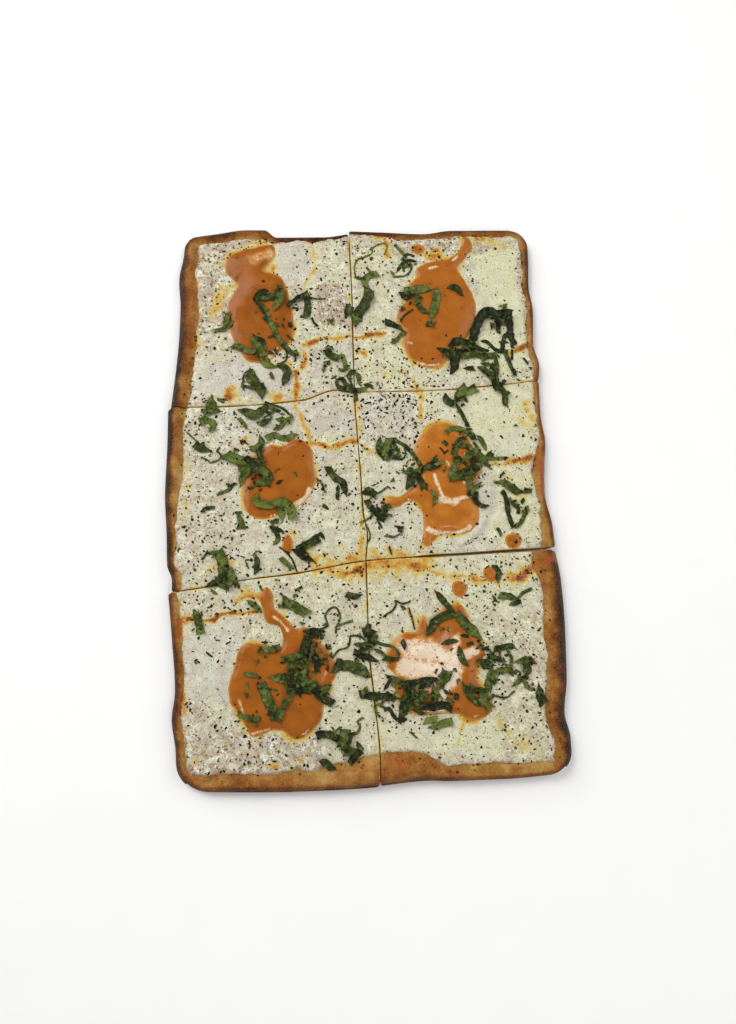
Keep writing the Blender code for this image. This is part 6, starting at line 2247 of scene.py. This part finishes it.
@dataclass
class Herbs:
    """Dried herb flakes scattered over everything, as one joined mesh."""

    slices: list[Slice]
    material: Material
    seed: int = 5
    kinds: int = 10
    kept_off_sauce: float = 0.92

    def chip(self, rng: np.random.Generator) -> Mesh:
        """Build one uneven chip, 1 mm long, as a shape to repeat.

        Args:
            rng: Source of the random numbers.

        Returns:
            The chip's mesh.
        """
        bm = bmesh.new()
        bmesh.ops.create_circle(bm, cap_ends=True, segments=int(rng.integers(5, 8)), radius=0.5)
        for vert in bm.verts:
            vert.co.x *= rng.uniform(0.7, 1.15)
            vert.co.y *= rng.uniform(0.45, 0.95)
        made = bmesh.ops.extrude_face_region(bm, geom=bm.faces[:])["geom"]
        bent = [item for item in made if isinstance(item, bmesh.types.BMVert)]
        for vert in bent:
            vert.co.z += 0.22 + rng.uniform(-0.06, 0.1)
            vert.co.xy *= 0.8
        bmesh.ops.triangulate(bm, faces=bm.faces[:])
        bmesh.ops.recalc_face_normals(bm, faces=bm.faces[:])
        return finished(bm, "chip")

    def spots(self, rng: np.random.Generator) -> Array:
        """Draw the flakes' places, thicker where more herbs were sprinkled.

        Args:
            rng: Source of the random numbers.

        Returns:
            Places, one a row.
        """
        edges = [smooth_path(outline, ROUTE_STEP, closed=True) for outline in SAUCES.values()]
        found = []
        for piece in self.slices:
            # Places are tried at more than the highest density, and kept by their own.
            most = HERB_BASE * 1.6 + 10
            count = int(abs(np.prod(piece.size)) / 100 * most)
            u, v = rng.uniform(0.01, 0.99, (2, count))
            flat = piece.plan(u, v)
            keep = rng.uniform(0, most, count) < herb_density(flat)
            for side, path in piece.outer_edge():
                along = flat[:, 1 if side in (Side.LEFT, Side.RIGHT) else 0]
                bare = np.maximum(piece.rims[side](along) + 1, 3)
                keep &= nearest(flat, path)[0] > bare * rng.uniform(0.6, 1.15, count) ** 1.5
            mottle = looks(flat)[1]
            keep &= rng.uniform(0, 1, count) < 0.02 + mottle * 2.3
            for edge in edges:
                keep &= ~(inside(flat, edge) & (rng.uniform(0, 1, count) < self.kept_off_sauce))
            found.append(flat[keep])
        return np.vstack(found)

    def make(self, ground: Ground) -> Object:
        """Scatter the flakes.

        Args:
            ground: What is already laid.

        Returns:
            The finished piece.
        """
        rng = np.random.default_rng(self.seed)
        shapes = []
        for _ in range(self.kinds):
            mesh = self.chip(rng)
            shapes.append((coordinates(mesh), triangles(mesh)))
            bpy.data.meshes.remove(mesh)
        spots = self.spots(rng)
        heights = ground.heights(spots)
        points, faces, shades, count = [], [], [], 0
        for (x, y), z in zip(spots, heights):
            if z < 0:
                continue
            xyz, corners = shapes[rng.integers(len(shapes))]
            size = HERB_SIZE[0] + (HERB_SIZE[1] - HERB_SIZE[0]) * rng.beta(1.2, 2.6)
            slim = rng.uniform(0.6, 1.0)
            turn = Matrix.Rotation(rng.uniform(0, 2 * math.pi), 3, "Z")
            turn = turn @ Matrix.Rotation(rng.uniform(-0.3, 0.3), 3, "X")
            local = xyz * np.array([size, size * slim, max(0.5, 0.5 * size)]) @ np.array(turn).T
            points.append(local + np.array([x, y, z - 0.06]))
            faces.append(corners + count)
            shades.append(np.full(len(xyz), rng.uniform(0, 1) ** 1.4))
            count += len(xyz)
        mesh = bpy.data.meshes.new("herb_flakes")
        mesh.from_pydata(in_frame(np.vstack(points)).tolist(), [], np.vstack(faces).tolist())
        set_attribute(mesh, "shade", np.concatenate(shades))
        mesh.validate()
        log.info("%d herb flakes", len(points))
        return show(mesh, self.material, "basil")


@dataclass
class Studio:
    """Pale floor, soft light, and the camera at the photograph's angle.

    The camera's place is in millimetres, its angles in degrees: down from level, heading from the Y axis and
    tilt to the side.
    """

    place: Array = field(default_factory=lambda: np.array([-26.4, -144.7, 607.3]))
    down: float = 77.98
    heading: float = 12.46
    tilt: float = 10.76
    lens: float = 26.0
    film: float = 36.0
    sky: Colour = (1.0, 0.99, 0.97, 1)
    sky_strength: float = 0.22

    def floor(self) -> None:
        """Lay the floor."""
        bm = bmesh.new()
        bmesh.ops.create_grid(bm, x_segments=1, y_segments=1, size=3)
        mesh = finished(bm, "floor")
        mesh.materials.append(FloorFinish().build())
        piece = placed("floor", mesh)

    def lamp(self, name: str, size: float, power: float, at: Place, aim: Place) -> Object:
        """Hang a square soft light.

        Args:
            name: Its name.
            size: Length of its sides in metres.
            power: Its watts.
            at: Its place.
            aim: The point that it faces.

        Returns:
            The light.
        """
        light = bpy.data.lights.new(name, "AREA")
        light.size, light.energy = size, power
        piece = placed(name, light)
        piece.location = at
        piece.rotation_euler = (Vector(aim) - Vector(at)).to_track_quat("-Z", "Y").to_euler()
        return piece

    def lights(self) -> None:
        """Hang the lights and set an even pale sky."""
        world = bpy.data.worlds.new("studio")
        world.use_nodes = True
        sky = world.node_tree.nodes["Background"]
        sky.inputs["Color"].default_value = self.sky
        sky.inputs["Strength"].default_value = self.sky_strength
        bpy.context.scene.world = world
        for name, lamp in LAMPS.items():
            # The key light isn't mirrored, because it would turn every wet edge white.
            self.lamp(name, *lamp).visible_glossy = name != "key"
        bpy.context.scene.view_settings.view_transform = "Standard"

    def camera(self) -> None:
        """Set up the camera."""
        pitch, yaw, roll = (math.radians(a) for a in (self.down, self.heading, self.tilt))
        level = math.cos(pitch)
        forward = Vector((math.sin(yaw) * level, math.cos(yaw) * level, -math.sin(pitch)))
        right = Vector((math.cos(yaw), -math.sin(yaw), 0))
        up = right.cross(forward)
        across = right * math.cos(roll) + up * math.sin(roll)
        upright = up * math.cos(roll) - right * math.sin(roll)
        lens = bpy.data.cameras.new("camera")
        lens.lens, lens.sensor_width, lens.sensor_fit = self.lens, self.film, "AUTO"
        lens.clip_start = 0.01
        piece = placed("camera", lens)
        turn = Matrix((across, upright, -forward)).transposed().to_4x4()
        piece.matrix_world = Matrix.Translation(in_frame(self.place)) @ turn
        bpy.context.scene.camera = piece

    def build(self) -> None:
        """Set up everything round the pizza."""
        self.floor()
        self.lights()
        self.camera()


def drop_outline(x: float, y: float, half_x: float, half_y: float) -> Array:
    """Make the uneven round edge of a drop.

    Args:
        x: Its middle across.
        y: Its middle along.
        half_x: Half its width.
        half_y: Half its length.

    Returns:
        The edge's points, one a row.
    """
    angles = np.linspace(0, 2 * math.pi, 8, endpoint=False)
    swell = 1 + 0.06 * np.sin(3 * angles)
    return np.column_stack([x + half_x * np.cos(angles) * swell, y + half_y * np.sin(angles)])


def main() -> None:
    """Build every piece in order, from the crust up."""
    logging.basicConfig(level=logging.INFO, format="%(message)s")
    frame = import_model()
    log.info("%d nodes in the frame", len(frame["nodes"]))
    Studio().build()
    slices = make_slices()
    ground = Ground()
    crust, cheese, sauce = CrustFinish().build(), CheeseFinish().build(), SauceFinish().build()
    basil, herbs = BasilFinish().build(), HerbFinish().build()
    for piece in slices:
        ground.add(Crust(piece, crust).make().data)
    for piece in slices:
        ground.add(Cheese(piece, cheese).make(ground).data)
    for node, outline in SAUCES.items():
        ground.add(Dollop(node, np.array(outline, float), sauce).make(ground).data)
    for node, size in DROPS.items():
        ground.add(Dollop(node, drop_outline(*size), sauce, DROP_DEPTH, DROP_CELL).make(ground).data)
    for node, shreds in BASIL.items():
        ground.add(BasilBundle(node, shreds, basil, SHADES.get(node, USUAL_SHADE)).make(ground).data)
    for name, shreds in LONE_BASIL.items():
        ground.add(BasilBundle(f"lone_{name}", shreds, basil, USUAL_SHADE, SCRAPS[name]).make(ground).data)
    Herbs(slices, herbs).make(ground)


if __name__ == "__main__":
    main()
